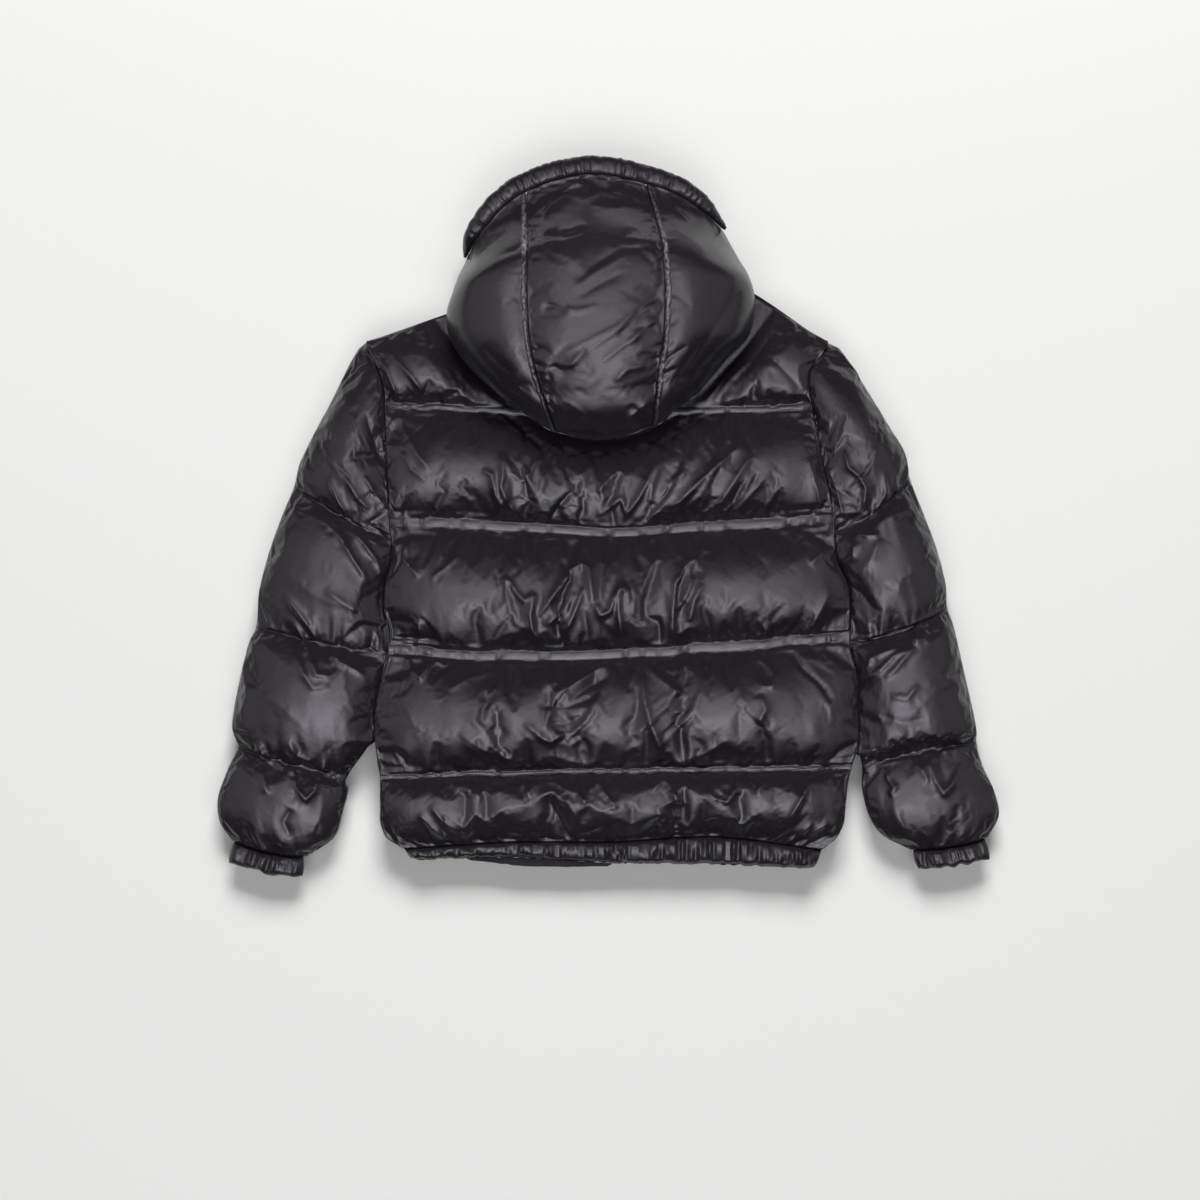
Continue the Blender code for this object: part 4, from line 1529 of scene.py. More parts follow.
    def finish(self, panel: int, puffed: np.ndarray) -> bpy.types.Object:
        """Closes an inflated panel with its inner face.

        Args:
            panel: 0 left, 1 centre, 2 right.
            puffed: The inflated grid.

        Returns:
            The object.
        """
        puffed = puffed.copy()
        puffed[..., 2] = np.minimum(puffed[..., 2], self.most_z)
        s, t = self.shares(panel)
        grid = finer(puffed)
        shares = finer(np.dstack([s, t, s]))
        s, t = shares[..., 0], shares[..., 1]
        inner = self.surface(s, t, self.wall)
        down = np.linalg.norm(np.diff(grid, axis=0, prepend=grid[:1]), axis=-1).cumsum(axis=0)
        wide = np.linalg.norm(grid - grid[:, :1], axis=-1)
        wide_back = np.linalg.norm(grid - grid[:, -1:], axis=-1)
        lift, painted_highlight = np.zeros(s.shape), np.zeros(s.shape)
        for used, seam_away, seed in ((panel > 0, wide, 131), (panel < 2, wide_back, 135)):
            if not used:
                continue
            lift += puckers(down, seam_away, seed + panel, 0.0013 if panel == 1 else 0.0005, 0.010, 0.0045)
            if panel != 1:
                broad = 0.5 + 0.5 * noise(down / 0.035, 0 * down, seed + 9)
                welt = np.exp(-(((seam_away - 0.0021) / (0.0012 + 0.0015 * broad)) ** 4))
                ragged = np.clip(0.5 + 1.3 * noise(down / 0.0021, seam_away / 0.0013, seed + 20), 0, 1)
                lift += welt * (0.0008 + 0.0014 * ragged)
                # Painted highlight: the ragged welt's colour is lightened beside each seam, fading towards
                # the hood's ends
                fades = np.interp(t, (0, 0.3, 0.7, 0.95), (0.4, 1, 1, 0.3))
                painted_highlight += welt * ragged * (0.45 + 0.55 * broad) * fades
        lift += 1.2 * sum(crease.lift(grid[..., 0], grid[..., 1]) for crease in HOOD_CREASES)
        from_mouth = down[-1:] - down
        lift += puckers(wide, from_mouth, 139 + panel, 0.0012, 0.022, 0.006)
        lift += 0.7 * puckers(wide, down, 143 + panel, 0.0014, 0.014, 0.007)
        grid[1:-1, 1:-1] += (normals_of(grid) * lift[..., None])[1:-1, 1:-1]
        grid[..., 2] = np.maximum(grid[..., 2], inner[..., 2] + 0.001)
        piece = slab(("hood_panel_left", "hood_panel_centre", "hood_panel_right")[panel], grid, inner)
        mark_painted_highlight(piece, painted_highlight)
        return piece

    def casing(self) -> bpy.types.Object:
        """Elastic casing round the face edge, gathered and crossed by three short seams.

        Returns:
            The object.
        """
        s = np.linspace(0, 1, 520)
        mouth = self.surface(s[None, :], np.ones((1, len(s))))[0]
        run = np.gradient(mouth[:, :2], axis=0)
        run /= np.linalg.norm(run, axis=1, keepdims=True)
        out = np.column_stack([-run[:, 1], run[:, 0]])
        place = np.linalg.norm(np.diff(mouth[:, :2], axis=0, prepend=mouth[:1, :2]), axis=1).cumsum()
        end = np.abs(2 * s - 1)
        wide = 0.0096 * (1 - 0.30 * end**3 - 0.55 * end**7)
        middle = mouth[:, :2] + out * (wide + SEAM * (5 * end**4 - 2))[:, None]
        height = np.maximum(mouth[:, 2] - self.wall / 2, 0.0080 + 0.0160 * end**12)
        angle = np.linspace(0, 2 * np.pi, 20, endpoint=False)[None, :]
        dense = (0.6 + 0.6 * np.exp(-(((mouth[:, 0] + 0.012) / 0.075) ** 2)))[:, None]
        gather = noise(place[:, None] / 0.0030 + 0.5 * np.sin(angle), 0.9 * np.cos(angle) + 4, 151)
        gather = gather + 0.7 * noise(place[:, None] / 0.0065, 0.7 * np.cos(angle) + 2, 152)
        seams = (-0.0805, -0.0295, 0.0255)
        crossed = sum(np.exp(-(((mouth[:, 0] - at) / 0.0022) ** 2)) for at in seams)[:, None]
        round_by = 1 + 0.15 * dense * gather * np.abs(np.sin(angle)) ** 0.5
        round_by = round_by - 0.18 * crossed * (np.sin(angle) > 0)
        flat = np.sign(np.sin(angle)) * np.abs(np.sin(angle)) ** 0.85
        thick = 0.0070 * (0.75 + 0.25 * (1 - end**8))[:, None]
        plan = middle[:, None, :] + out[:, None, :] * (wide[:, None] * np.cos(angle))[..., None]
        plan += out[:, None, :] * (0.0006 * gather * (np.cos(angle) > 0.2))[..., None]
        rings = np.dstack([plan, np.maximum(height[:, None] + thick * flat * round_by, 0.0003)])
        piece = tube("hood_casing_gathered", rings)
        return piece

    def under(self) -> bpy.types.Object:
        """Rounded solid of the folded layers under the hood, with soft folds.

        Returns:
            The object.
        """
        rows = np.concatenate([(0.04, 0.07, 0.10, 0.15), np.linspace(0.2, 0.985, 40)])
        s, t = np.meshgrid(np.linspace(0.05, 0.95, 49), rows)
        arch = self.surface(s, t, self.wall + 0.0022)
        base_z = 0.0303
        over = 1 / (1 + np.exp(((arch[..., 1] - self.step) / 0.004).clip(-30, 30)))
        base = arch[:, ::-1].copy()
        base[..., 2] = base_z * over[:, ::-1]
        folds = 0.0018 * (1 + noise(arch[..., 0] / 0.016, arch[..., 1] / 0.05, 161))
        arch[..., 2] = np.maximum(arch[..., 2] - folds, base_z * over + 0.004)
        piece = tube("hood_folded_layers", np.concatenate([arch, base], axis=1))
        return piece


# --------------------------------------------------------------------------- zip and stitching


@dataclass
class FrontZip:
    """Moulded zip between the fronts, closed, with its slider at the neck."""

    low: float = -0.3405
    high: float = 0.2100
    width: float = 0.024
    z: tuple = (0.0095, 0.0125)
    pitch: float = 0.0030
    tooth: tuple = (0.0032, 0.0017, 0.0018)

    def chain(self) -> bpy.types.Object:
        """Tapes and two rows of teeth that mesh.

        Returns:
            The object.
        """
        y = np.linspace(self.low, self.high, 120)
        x = zip_centre(y)
        high = self.z[1]
        across = np.array([-1.0, -0.85, -0.16, -0.10, 0.10, 0.16, 0.85, 1.0]) * self.width / 2
        plan = np.dstack([x[:, None] + across, np.broadcast_to(y[:, None], (120, 8))])
        top = np.dstack([plan, np.full((120, 8), high)])
        piece = slab("zip_tapes", top, np.dstack([plan, np.full((120, 8), high - 0.0010)]))
        count = int((self.high - self.low) / self.pitch) - 1
        at = self.low + self.pitch * (np.arange(count) + 1)
        side = np.where(np.arange(count) % 2, 1.0, -1.0)
        long, wide, deep = self.tooth
        corners = ((-1, -1), (1, -1), (1, 1), (-1, 1))
        shape = np.array([(sx, sy, sz) for sz in (0, 1) for sx, sy in corners], float)
        shape[4:, :2] *= 0.8
        centre = np.stack([zip_centre(at) + side * 0.0009, at, np.full(count, high - 0.0011)], axis=-1)
        size = np.array([long / 2, wide / 2, -deep])
        points = (centre[:, None, :] + shape[None] * size).reshape(-1, 3)
        quads = np.array([(0, 1, 2, 3), (7, 6, 5, 4), (0, 4, 5, 1), (1, 5, 6, 2), (2, 6, 7, 3), (3, 7, 4, 0)])
        faces = (quads[None] + 8 * np.arange(count)[:, None, None]).reshape(-1, 4).tolist()
        return joined("zip_chain_teeth", [piece, shaded("zip_teeth", points, faces)])

    def slider(self) -> bpy.types.Object:
        """Slider body and its pull tab, turned down the chain.

        Returns:
            The object.
        """
        top = self.high - 0.012
        outline = ((0.0, 0.0040), (0.0010, 0.0047), (0.0060, 0.0046), (0.0110, 0.0036), (0.0140, 0.0030))
        outline += ((0.0150, 0.0026), (0.0280, 0.0030), (0.0400, 0.0030), (0.0415, 0.0024), (0.0420, 0.0010))
        down = np.linspace(0, 0.042, 60)
        half = np.interp(down, *zip(*outline))
        across = np.array([-1, -0.96, -0.85, -0.4, 0.0, 0.4, 0.85, 0.96, 1])
        round_off = np.array([0.0006, 0.0002, 0, 0, 0, 0, 0, 0.0002, 0.0006])
        x = float(zip_centre(top)) + half[:, None] * across
        y = np.broadcast_to((top - down)[:, None], x.shape)
        z = self.z[0] - SEAM
        thick = np.interp(down, (0, 0.0150, 0.0151, 0.042), (0.0028, 0.0028, 0.0014, 0.0014))[:, None]
        high = np.dstack([x, y, np.full(x.shape, z) - round_off])[::-1]
        low = np.dstack([x, y, z - thick + round_off])[::-1]
        return slab("zip_slider_tab", high, low)


def joined(name: str, pieces: list) -> bpy.types.Object:
    """Joins objects into one.

    Args:
        name: Name of the result.
        pieces: Objects to join.

    Returns:
        The object.
    """
    points, faces = [], []
    start = 0
    for piece in pieces:
        flat = np.empty(len(piece.data.vertices) * 3)
        piece.data.vertices.foreach_get("co", flat)
        points.append(flat.reshape(-1, 3))
        faces += [[start + i for i in p.vertices] for p in piece.data.polygons]
        start += len(piece.data.vertices)
        bpy.data.objects.remove(piece, do_unlink=True)
    return shaded(name, np.concatenate(points), faces)


@dataclass
class Stitching:
    """Rows of thread, each stitch a short rounded dash that dips at both ends."""

    pitch: float = 0.0034
    length: float = 0.0026
    radius: float = 0.00024
    dashes: list = field(default_factory=list)

    def sew(self, path: np.ndarray, lift: float = 0.0002) -> None:
        """Adds a row of stitches along a path.

        Args:
            path: Points of the row.
            lift: Height of the thread over the path.
        """
        run = np.linalg.norm(np.diff(path, axis=0, prepend=path[:1]), axis=1).cumsum()
        at = np.arange(self.pitch / 2, run[-1] - self.length, self.pitch)
        along = np.array([0.0, 0.12, 0.5, 0.88, 1.0]) * self.length
        stations = at[:, None] + along
        centre = np.stack([np.interp(stations, run, path[:, i]) for i in range(3)], axis=-1)
        centre[..., 2] += lift + np.array([-0.0004, 0.0, 0.0001, 0.0, -0.0004])
        self.dashes.append(centre)

    def build(self) -> bpy.types.Object:
        """Turns all rows into one mesh of thin six-sided threads.

        Returns:
            The object.
        """
        centre = np.concatenate(self.dashes)
        run = np.gradient(centre, axis=1)
        run /= np.linalg.norm(run, axis=-1, keepdims=True).clip(1e-9)
        side = np.cross(run, (0, 0, 1.0))
        side /= np.linalg.norm(side, axis=-1, keepdims=True).clip(1e-9)
        over = np.cross(side, run)
        angle = np.linspace(0, 2 * np.pi, 6, endpoint=False)
        radius = self.radius * np.array([0.45, 0.9, 1.0, 0.9, 0.45])[None, :, None, None]
        ring = centre[:, :, None, :] + radius * (
            side[:, :, None, :] * np.cos(angle)[None, None, :, None]
            + over[:, :, None, :] * np.sin(angle)[None, None, :, None]
        )
        n = np.arange(30).reshape(5, 6)
        a, b = n[:-1], np.roll(n, -1, axis=1)[:-1]
        quads = np.stack([a, b, b + 6, a + 6], axis=-1).reshape(-1, 4)
        start = 30 * np.arange(len(centre))
        faces = (quads[None] + start[:, None, None]).reshape(-1, 4).tolist()
        faces += (n[0, ::-1][None] + start[:, None]).tolist() + (n[-1][None] + start[:, None]).tolist()
        return shaded("quilting_thread", ring.reshape(-1, 3), faces)


# --------------------------------------------------------------------------- studio


@dataclass(frozen=True)
class Lamp:
    """One soft area lamp aimed at the jacket."""

    name: str
    place: tuple
    size: tuple
    power: float
    aim: tuple = (0.0, 0.0, 0.0)
    diffuse: bool = True
    glossy: bool = True

    def build(self) -> None:
        """Builds the lamp."""
        light = bpy.data.lights.new(self.name, "AREA")
        light.shape = "RECTANGLE"
        light.size, light.size_y = self.size
        light.energy = self.power
        light.color = linear("#F3F1FA" if self.glossy else "#FFFFFF")[:3]
        lamp = bpy.data.objects.new(self.name, light)
        lamp.location = self.place
        lamp.rotation_euler = (Vector(self.aim) - Vector(self.place)).to_track_quat("-Z", "Y").to_euler()
        lamp.visible_diffuse = self.diffuse
        lamp.visible_glossy = self.glossy
        lamp.visible_camera = False
        bpy.context.scene.collection.objects.link(lamp)


@dataclass
class Studio:
    """Pale surface, soft lamps and a camera straight above."""

    field_of_view: float = 1.2
    centre: tuple = (-0.0085, -0.0820)
    distance: float = 3.0
    lamps: tuple = (
        # Low key behind the hood throws the soft shadow below the hem; it stays out of the cloth's gloss
        Lamp("key_softbox", (0.2, 4.4, 3.1), (2.8, 1.8), 345.0, aim=(0.0, -0.1, 0.0), glossy=False),
        # Even light of the pale room
        Lamp("room_fill", (-0.1, -1.8, 2.6), (4.0, 3.0), 47.0, aim=(-0.1, -1.8, 0.0), glossy=False),
        # Panels over the jacket and towards the hem, seen only in the gloss, brighter towards their middle
        Lamp("gloss_wide", (0.0, -0.85, 2.40), (2.1, 3.0), 18.5, aim=(0.0, -0.85, 0.0), diffuse=False),
        Lamp("gloss_core", (0.0, -0.85, 2.35), (0.9, 2.6), 7.0, aim=(0.0, -0.85, 0.0), diffuse=False),
        Lamp("gloss_halo", (0.0, -0.60, 2.50), (3.8, 4.2), 24.0, aim=(0.0, -0.60, 0.0), diffuse=False),
        Lamp("gloss_strip", (0.0, -1.05, 2.3), (0.9, 0.8), 6.0, aim=(0.0, -1.05, 0.0), diffuse=False),
        Lamp("gloss_left", (-2.3, 0.1, 1.6), (2.4, 2.2), 9.0, diffuse=False),
        Lamp("gloss_right", (2.3, 0.1, 1.6), (2.4, 2.2), 7.0, diffuse=False),
    )
    ambient: float = 0.05

    def build(self) -> None:
        """Builds the studio."""
        corners = np.array([(-6, -6, 0), (6, -6, 0), (6, 6, 0), (-6, 6, 0)], float)
        floor = shaded("floor", corners, [[0, 1, 2, 3]])
        floor.location.z = -0.0002
        floor.data.materials.append(PaperSweep().build())
        for lamp in self.lamps:
            lamp.build()
        scene = bpy.context.scene
        world = bpy.data.worlds.new("studio_air")
        world.use_nodes = True
        world.node_tree.nodes["Background"].inputs["Color"].default_value = linear("#F4F5F5")
        world.node_tree.nodes["Background"].inputs["Strength"].default_value = self.ambient
        scene.world = world
        camera = bpy.data.cameras.new("camera")
        camera.sensor_width = 36.0
        camera.lens = 36.0 * self.distance / self.field_of_view
        camera.clip_end = 20.0
        view = bpy.data.objects.new("camera", camera)
        view.location = (*self.centre, self.distance + 0.03)
        scene.collection.objects.link(view)
        scene.camera = view
        scene.view_settings.view_transform = "Standard"


# --------------------------------------------------------------------------- the jacket

SLEEVE_LEFT = (
    # outer x, outer y, inner x, inner y, bow, crown, pinch
    (-0.2460, 0.1780, -0.2235, 0.0860, -0.006, 0.034, 1.0),
    (-0.2600, 0.1545, -0.2230, 0.0620, -0.002, 0.046, 0.0),
    (-0.2775, 0.1190, -0.2225, 0.0380, 0.000, 0.054, 0.0),
    (-0.2935, 0.0890, -0.2210, 0.0130, 0.000, 0.056, 0.0),
    (-0.3100, 0.0550, -0.2200, -0.0070, 0.000, 0.050, 0.0),
    (-0.3155, 0.0320, -0.2195, -0.0230, 0.003, 0.033, 1.0),
    (-0.3275, 0.0030, -0.2195, -0.0420, 0.000, 0.050, 0.0),
    (-0.3405, -0.0330, -0.2245, -0.0720, 0.000, 0.057, 0.0),
    (-0.3505, -0.0730, -0.2255, -0.1010, 0.000, 0.053, 0.0),
    (-0.3535, -0.1080, -0.2250, -0.1350, 0.004, 0.032, 1.0),
    (-0.3615, -0.1260, -0.2270, -0.1550, 0.000, 0.048, 0.0),
    (-0.3715, -0.1680, -0.2340, -0.1890, 0.000, 0.056, 0.0),
    (-0.3780, -0.2080, -0.2345, -0.2180, 0.000, 0.052, 0.0),
    (-0.3725, -0.2290, -0.2620, -0.2590, 0.003, 0.030, 1.0),
    (-0.3815, -0.2500, -0.2610, -0.2730, 0.000, 0.044, 0.0),
    (-0.3920, -0.2800, -0.2660, -0.2930, 0.000, 0.048, 0.0),
    (-0.3900, -0.3050, -0.2750, -0.3200, 0.000, 0.042, 0.0),
    (-0.3780, -0.3230, -0.3035, -0.3395, 0.004, 0.022, 1.0),
)
SLEEVE_RIGHT = (
    # outer x, outer y, inner x, inner y, bow, crown, pinch
    (0.2270, 0.1765, 0.2080, 0.0980, -0.011, 0.034, 1.0),
    (0.2405, 0.1590, 0.2105, 0.0760, -0.004, 0.046, 0.0),
    (0.2570, 0.1330, 0.2150, 0.0520, 0.000, 0.054, 0.0),
    (0.2815, 0.0930, 0.2195, 0.0260, 0.000, 0.056, 0.0),
    (0.2970, 0.0660, 0.2245, 0.0020, 0.000, 0.050, 0.0),
    (0.3025, 0.0400, 0.2275, -0.0180, 0.004, 0.033, 1.0),
    (0.3150, 0.0080, 0.2310, -0.0420, 0.000, 0.050, 0.0),
    (0.3290, -0.0290, 0.2410, -0.0720, 0.000, 0.057, 0.0),
    (0.3385, -0.0650, 0.2430, -0.1000, 0.000, 0.053, 0.0),
    (0.3400, -0.0890, 0.2440, -0.1240, 0.006, 0.032, 1.0),
    (0.3470, -0.1100, 0.2490, -0.1440, 0.000, 0.048, 0.0),
    (0.3580, -0.1580, 0.2510, -0.1820, 0.000, 0.056, 0.0),
    (0.3690, -0.2080, 0.2500, -0.2260, 0.000, 0.052, 0.0),
    (0.3695, -0.2260, 0.2545, -0.2500, -0.004, 0.030, 1.0),
    (0.3755, -0.2480, 0.2545, -0.2730, 0.000, 0.044, 0.0),
    (0.3870, -0.2730, 0.2620, -0.3000, 0.000, 0.048, 0.0),
    (0.3920, -0.2980, 0.2750, -0.3180, 0.000, 0.042, 0.0),
    (0.3805, -0.3205, 0.3030, -0.3325, 0.003, 0.022, 1.0),
)
BACK_CREASES = (
    # Yoke
    Crease(1.8, 3.0, ((-236, 170), (-222, 150), (-212, 124), (-204, 113))),
    Crease(1.4, 3.0, ((-214, 160), (-196, 140), (-184, 124))),
    Crease(1.6, 2.2, ((96, 115), (114, 138), (136, 162))),
    Crease(1.4, 2.0, ((102, 113), (122, 138), (142, 158))),
    Crease(-1.2, 4.0, ((150, 168), (172, 150), (192, 128))),
    # Channel under the hood
    Crease(2.2, 3.2, ((-126, 48), (-116, 42), (-113, 24), (-105, 10), (-98, 4))),
    Crease(2.8, 3.4, ((-106, 66), (-105, 42), (-107, 30), (-99, 14), (-91, 2))),
    Crease(1.8, 3.0, ((-104, 62), (-97, 45), (-86, 36), (-78, 45), (-72, 56), (-62, 61))),
    Crease(-2.4, 3.0, ((-58, -2), (-47, 14), (-37, 25), (-34, 38))),
    Crease(1.8, 2.6, ((-36, 52), (-34, 38), (-37, 26), (-31, 17))),
    Crease(1.4, 3.0, ((-16, 56), (-24, 46), (-32, 40))),
    Crease(1.8, 3.2, ((14, 50), (0, 38), (-14, 22))),
    Crease(2.6, 3.2, ((-13, 1), (2, 12), (13, 20), (18, 4), (30, 20), (40, 38), (47, 54), (57, 70))),
    Crease(1.7, 3.4, ((40, 14), (44, 34), (54, 60))),
    Crease(1.5, 3.4, ((46, 10), (58, 30), (78, 48))),
    Crease(2.3, 4.6, ((58, 4), (80, 26), (102, 46), (134, 74))),
    Crease(1.6, 3.6, ((108, 10), (122, 32), (142, 62))),
    Crease(1.4, 3.4, ((112, 2), (132, 22), (148, 50))),
    Crease(1.2, 3.2, ((124, 4), (140, 22), (158, 42))),
    Crease(2.4, 5.5, ((-212, 108), (-202, 84), (-190, 62), (-176, 46))),
    Crease(1.3, 4.0, ((-206, 66), (-196, 48), (-180, 36))),
    Crease(1.6, 4.0, ((198, 60), (206, 34), (214, 6))),
    Crease(1.6, 2.6, ((-213, 4), (-208, -8), (-204, -22))),
    # Channel over the waist
    Crease(2.2, 3.0, ((-108, -62), (-99, -63), (-92, -74), (-84, -83), (-74, -76))),
    Crease(2.2, 2.8, ((-73, -74), (-78, -96), (-76, -110), (-68, -124))),
    Crease(
        3.4,
        3.6,
        ((-70, -99), (-60, -84), (-48, -68), (-37, -53), (-27, -46), (-20, -50), (-18, -66), (-14, -84)),
    ),
    Crease(3.2, 3.4, ((-14, -84), (-8, -97), (1, -93), (5, -81), (13, -69), (19, -74), (21, -88))),
    Crease(2.4, 3.0, ((-49, -122), (-38, -103), (-29, -82), (-24, -68))),
    Crease(1.8, 3.0, ((-64, -108), (-46, -94), (-33, -74))),
    Crease(2.6, 2.8, ((12, -68), (10, -92), (13, -121))),
    Crease(3.4, 3.2, ((64, -120), (64, -88), (66, -66), (76, -50), (86, -41), (92, -54))),
    Crease(2.2, 3.0, ((68, -92), (78, -76), (85, -58))),
    Crease(1.9, 3.2, ((80, -104), (85, -82), (94, -66))),
    Crease(-1.3, 3.6, ((4, -20), (-3, -40), (-8, -60), (-8, -92))),
    Crease(1.6, 3.4, ((22, -62), (26, -78), (24, -100))),
    Crease(1.8, 4.0, ((212, -22), (212, -36), (200, -47))),
    Crease(2.0, 6.0, ((192, -124), (208, -98), (222, -70))),
    Crease(2.0, 3.4, ((-202, -22), (-204, -42), (-188, -60))),
    Crease(1.2, 3.0, ((-178, -62), (-160, -48), (-148, -36))),
    Crease(1.7, 5.0, ((-190, -102), (-188, -118), (-192, -130))),
    Crease(1.4, 5.0, ((150, -128), (158, -112), (148, -100))),
    # Channel under the waist
    Crease(2.6, 2.6, ((-201, -139), (-196, -152), (-188, -160), (-181, -150), (-178, -139))),
    Crease(1.6, 2.6, ((-176, -140), (-164, -148), (-154, -140))),
    Crease(1.8, 4.0, ((-64, -150), (-60, -166), (-52, -178))),
    Crease(3.0, 5.0, ((-52, -178), (-34, -166), (-14, -154), (14, -139))),
    Crease(-2.2, 5.0, ((-40, -182), (-20, -168), (0, -158))),
    Crease(1.8, 3.4, ((-84, -204), (-74, -212), (-66, -219), (-58, -223), (-48, -216), (-36, -214))),
    Crease(-1.8, 5.0, ((-72, -186), (-44, -189), (-24, -182), (-6, -170))),
    Crease(-1.5, 5.0, ((-62, -206), (-40, -204), (-22, -196))),
    Crease(2.2, 3.6, ((22, -170), (26, -152), (34, -145), (50, -160), (66, -172), (86, -183))),
    Crease(2.2, 3.0, ((34, -148), (35, -180), (41, -202), (49, -222), (55, -238))),
    Crease(-1.4, 4.0, ((28, -168), (30, -184), (26, -200), (12, -212))),
    Crease(2.4, 2.8, ((144, -139), (158, -146), (165, -157), (164, -168), (153, -168), (147, -160))),
    Crease(1.8, 5.0, ((150, -176), (156, -190), (148, -206))),
    Crease(1.5, 5.0, ((-150, -214), (-124, -231), (-92, -243))),
    Crease(1.2, 4.0, ((-146, -222), (-122, -240), (-98, -250))),
    Crease(1.2, 5.0, ((62, -246), (92, -237), (122, -220))),
    Crease(1.2, 5.0, ((-60, -236), (-34, -244), (-12, -246))),
    Crease(1.2, 4.0, ((-160, -172), (-140, -160), (-112, -152))),
    # Lowest channel
    Crease(
        2.6, 2.8, ((-94, -252), (-87, -262), (-80, -275), (-72, -264), (-62, -262), (-46, -268), (-33, -275))
    ),
    Crease(
        2.4, 2.8, ((-36, -262), (-31, -274), (-24, -283), (-18, -272), (-10, -264), (-3, -276), (8, -291))
    ),
    Crease(1.6, 3.4, ((-142, -257), (-139, -270), (-124, -281))),
    Crease(2.6, 2.8, ((42, -274), (54, -261), (62, -268), (68, -281), (78, -285))),
    Crease(2.4, 3.0, ((96, -272), (106, -280), (118, -283), (126, -272), (133, -252))),
    Crease(-2.6, 6.0, ((60, -284), (66, -300), (68, -322))),
    Crease(1.6, 5.0, ((48, -286), (54, -304), (54, -320))),
    Crease(-2.6, 6.0, ((-64, -276), (-50, -300), (-38, -322))),
    Crease(1.6, 5.0, ((-44, -276), (-32, -298), (-22, -318))),
    Crease(2.0, 3.2, ((154, -253), (152, -266), (147, -278))),
    Crease(2.6, 4.0, ((178, -304), (188, -286), (198, -270), (206, -254))),
    Crease(2.0, 4.0, ((226, -274), (232, -258), (238, -246))),
    Crease(1.8, 3.0, ((-189, -295), (-177, -308), (-158, -323))),
    Crease(1.5, 3.0, ((-178, -286), (-166, -301), (-150, -314))),
    Crease(1.6, 3.0, ((196, -322), (208, -312), (220, -304))),
    Crease(1.4, 3.0, ((176, -326), (190, -318), (204, -304))),
)
CREASES_LEFT = (
    Crease(-1.6, 1.8, ((-262, 152), (-250, 143), (-240, 134))),
    Crease(-2.4, 4.0, ((-242, 104), (-232, 76), (-224, 50))),
    Crease(2.8, 3.2, ((-279, 42), (-272, 24), (-264, 8), (-262, -4))),
    Crease(2.6, 3.0, ((-274, 0), (-268, -18), (-254, -42), (-238, -66))),
    Crease(2.6, 2.8, ((-262, -8), (-246, -24), (-232, -42), (-226, -62))),
    Crease(2.2, 3.4, ((-243, 42), (-234, 24), (-222, 10))),
    Crease(1.6, 3.4, ((-262, 40), (-250, 20), (-238, 8))),
    Crease(1.4, 4.0, ((-310, 44), (-300, 30), (-300, 12))),
    Crease(1.6, 3.0, ((-246, -6), (-242, -20), (-232, -26), (-224, -20))),
    Crease(2.8, 3.2, ((-324, -74), (-314, -88), (-301, -105), (-288, -124))),
    Crease(2.6, 3.0, ((-318, -98), (-307, -116), (-299, -134), (-291, -156), (-277, -158), (-267, -150))),
    Crease(1.8, 3.4, ((-312, -134), (-304, -154), (-294, -169), (-276, -166))),
    Crease(2.2, 3.0, ((-282, -132), (-267, -144), (-252, -152), (-238, -162))),
    Crease(1.8, 6.0, ((-282, -72), (-262, -86), (-240, -98))),
    Crease(2.2, 3.0, ((-356, -218), (-346, -234), (-330, -246), (-312, -254))),
    Crease(1.8, 3.0, ((-376, -220), (-368, -234), (-358, -242))),
    Crease(2.6, 2.8, ((-317, -248), (-312, -268), (-302, -281), (-293, -272), (-289, -254))),
    Crease(1.6, 3.0, ((-346, -250), (-344, -262), (-340, -276))),
    Crease(1.6, 3.4, ((-320, -222), (-310, -238), (-296, -246))),
    Crease(-1.8, 5.0, ((-318, -320), (-324, -304), (-316, -290))),
    Crease(1.5, 4.0, ((-384, -250), (-378, -262), (-372, -280))),
)
CREASES_RIGHT = (
    Crease(2.8, 3.4, ((234, 70), (239, 50), (249, 42), (256, 30), (254, 8))),
    Crease(2.2, 4.5, ((220, 50), (228, 28), (234, 2))),
    Crease(2.2, 3.2, ((274, 48), (276, 26), (266, 8), (255, -6))),
    Crease(2.0, 2.8, ((284, 44), (282, 22), (270, 8))),
    Crease(1.8, 2.8, ((293, 72), (290, 42), (288, 18))),
    Crease(1.6, 2.8, ((300, 52), (306, 30), (314, 12))),
    Crease(2.4, 2.8, ((246, -16), (258, -18), (270, -17))),
    Crease(2.2, 3.0, ((232, -46), (244, -38), (246, -24))),
    Crease(1.8, 7.0, ((246, -60), (262, -40), (270, -20))),
    Crease(2.4, 3.4, ((250, -148), (258, -152), (262, -140), (290, -128))),
    Crease(2.4, 3.0, ((254, -164), (270, -152), (284, -138), (304, -128))),
    Crease(2.2, 3.0, ((274, -160), (284, -152), (294, -140), (306, -128))),
    Crease(1.8, 3.4, ((280, -178), (297, -179), (308, -166))),
    Crease(2.4, 3.0, ((304, -128), (308, -112), (318, -100), (330, -92))),
    Crease(1.8, 3.4, ((338, -100), (346, -126), (352, -158))),
    Crease(1.6, 3.4, ((304, -126), (314, -120), (322, -128))),
    Crease(-1.6, 6.0, ((270, -196), (292, -206), (318, -200))),
    Crease(2.4, 2.8, ((276, -248), (280, -262), (286, -269), (280, -278))),
    Crease(2.4, 3.0, ((321, -244), (326, -262), (334, -275), (342, -266), (352, -244))),
    Crease(1.8, 3.0, ((308, -243), (314, -254), (320, -266))),
    Crease(1.6, 3.0, ((364, -230), (366, -246), (362, -258))),
    Crease(1.4, 4.0, ((246, 156), (254, 140), (262, 130))),
)
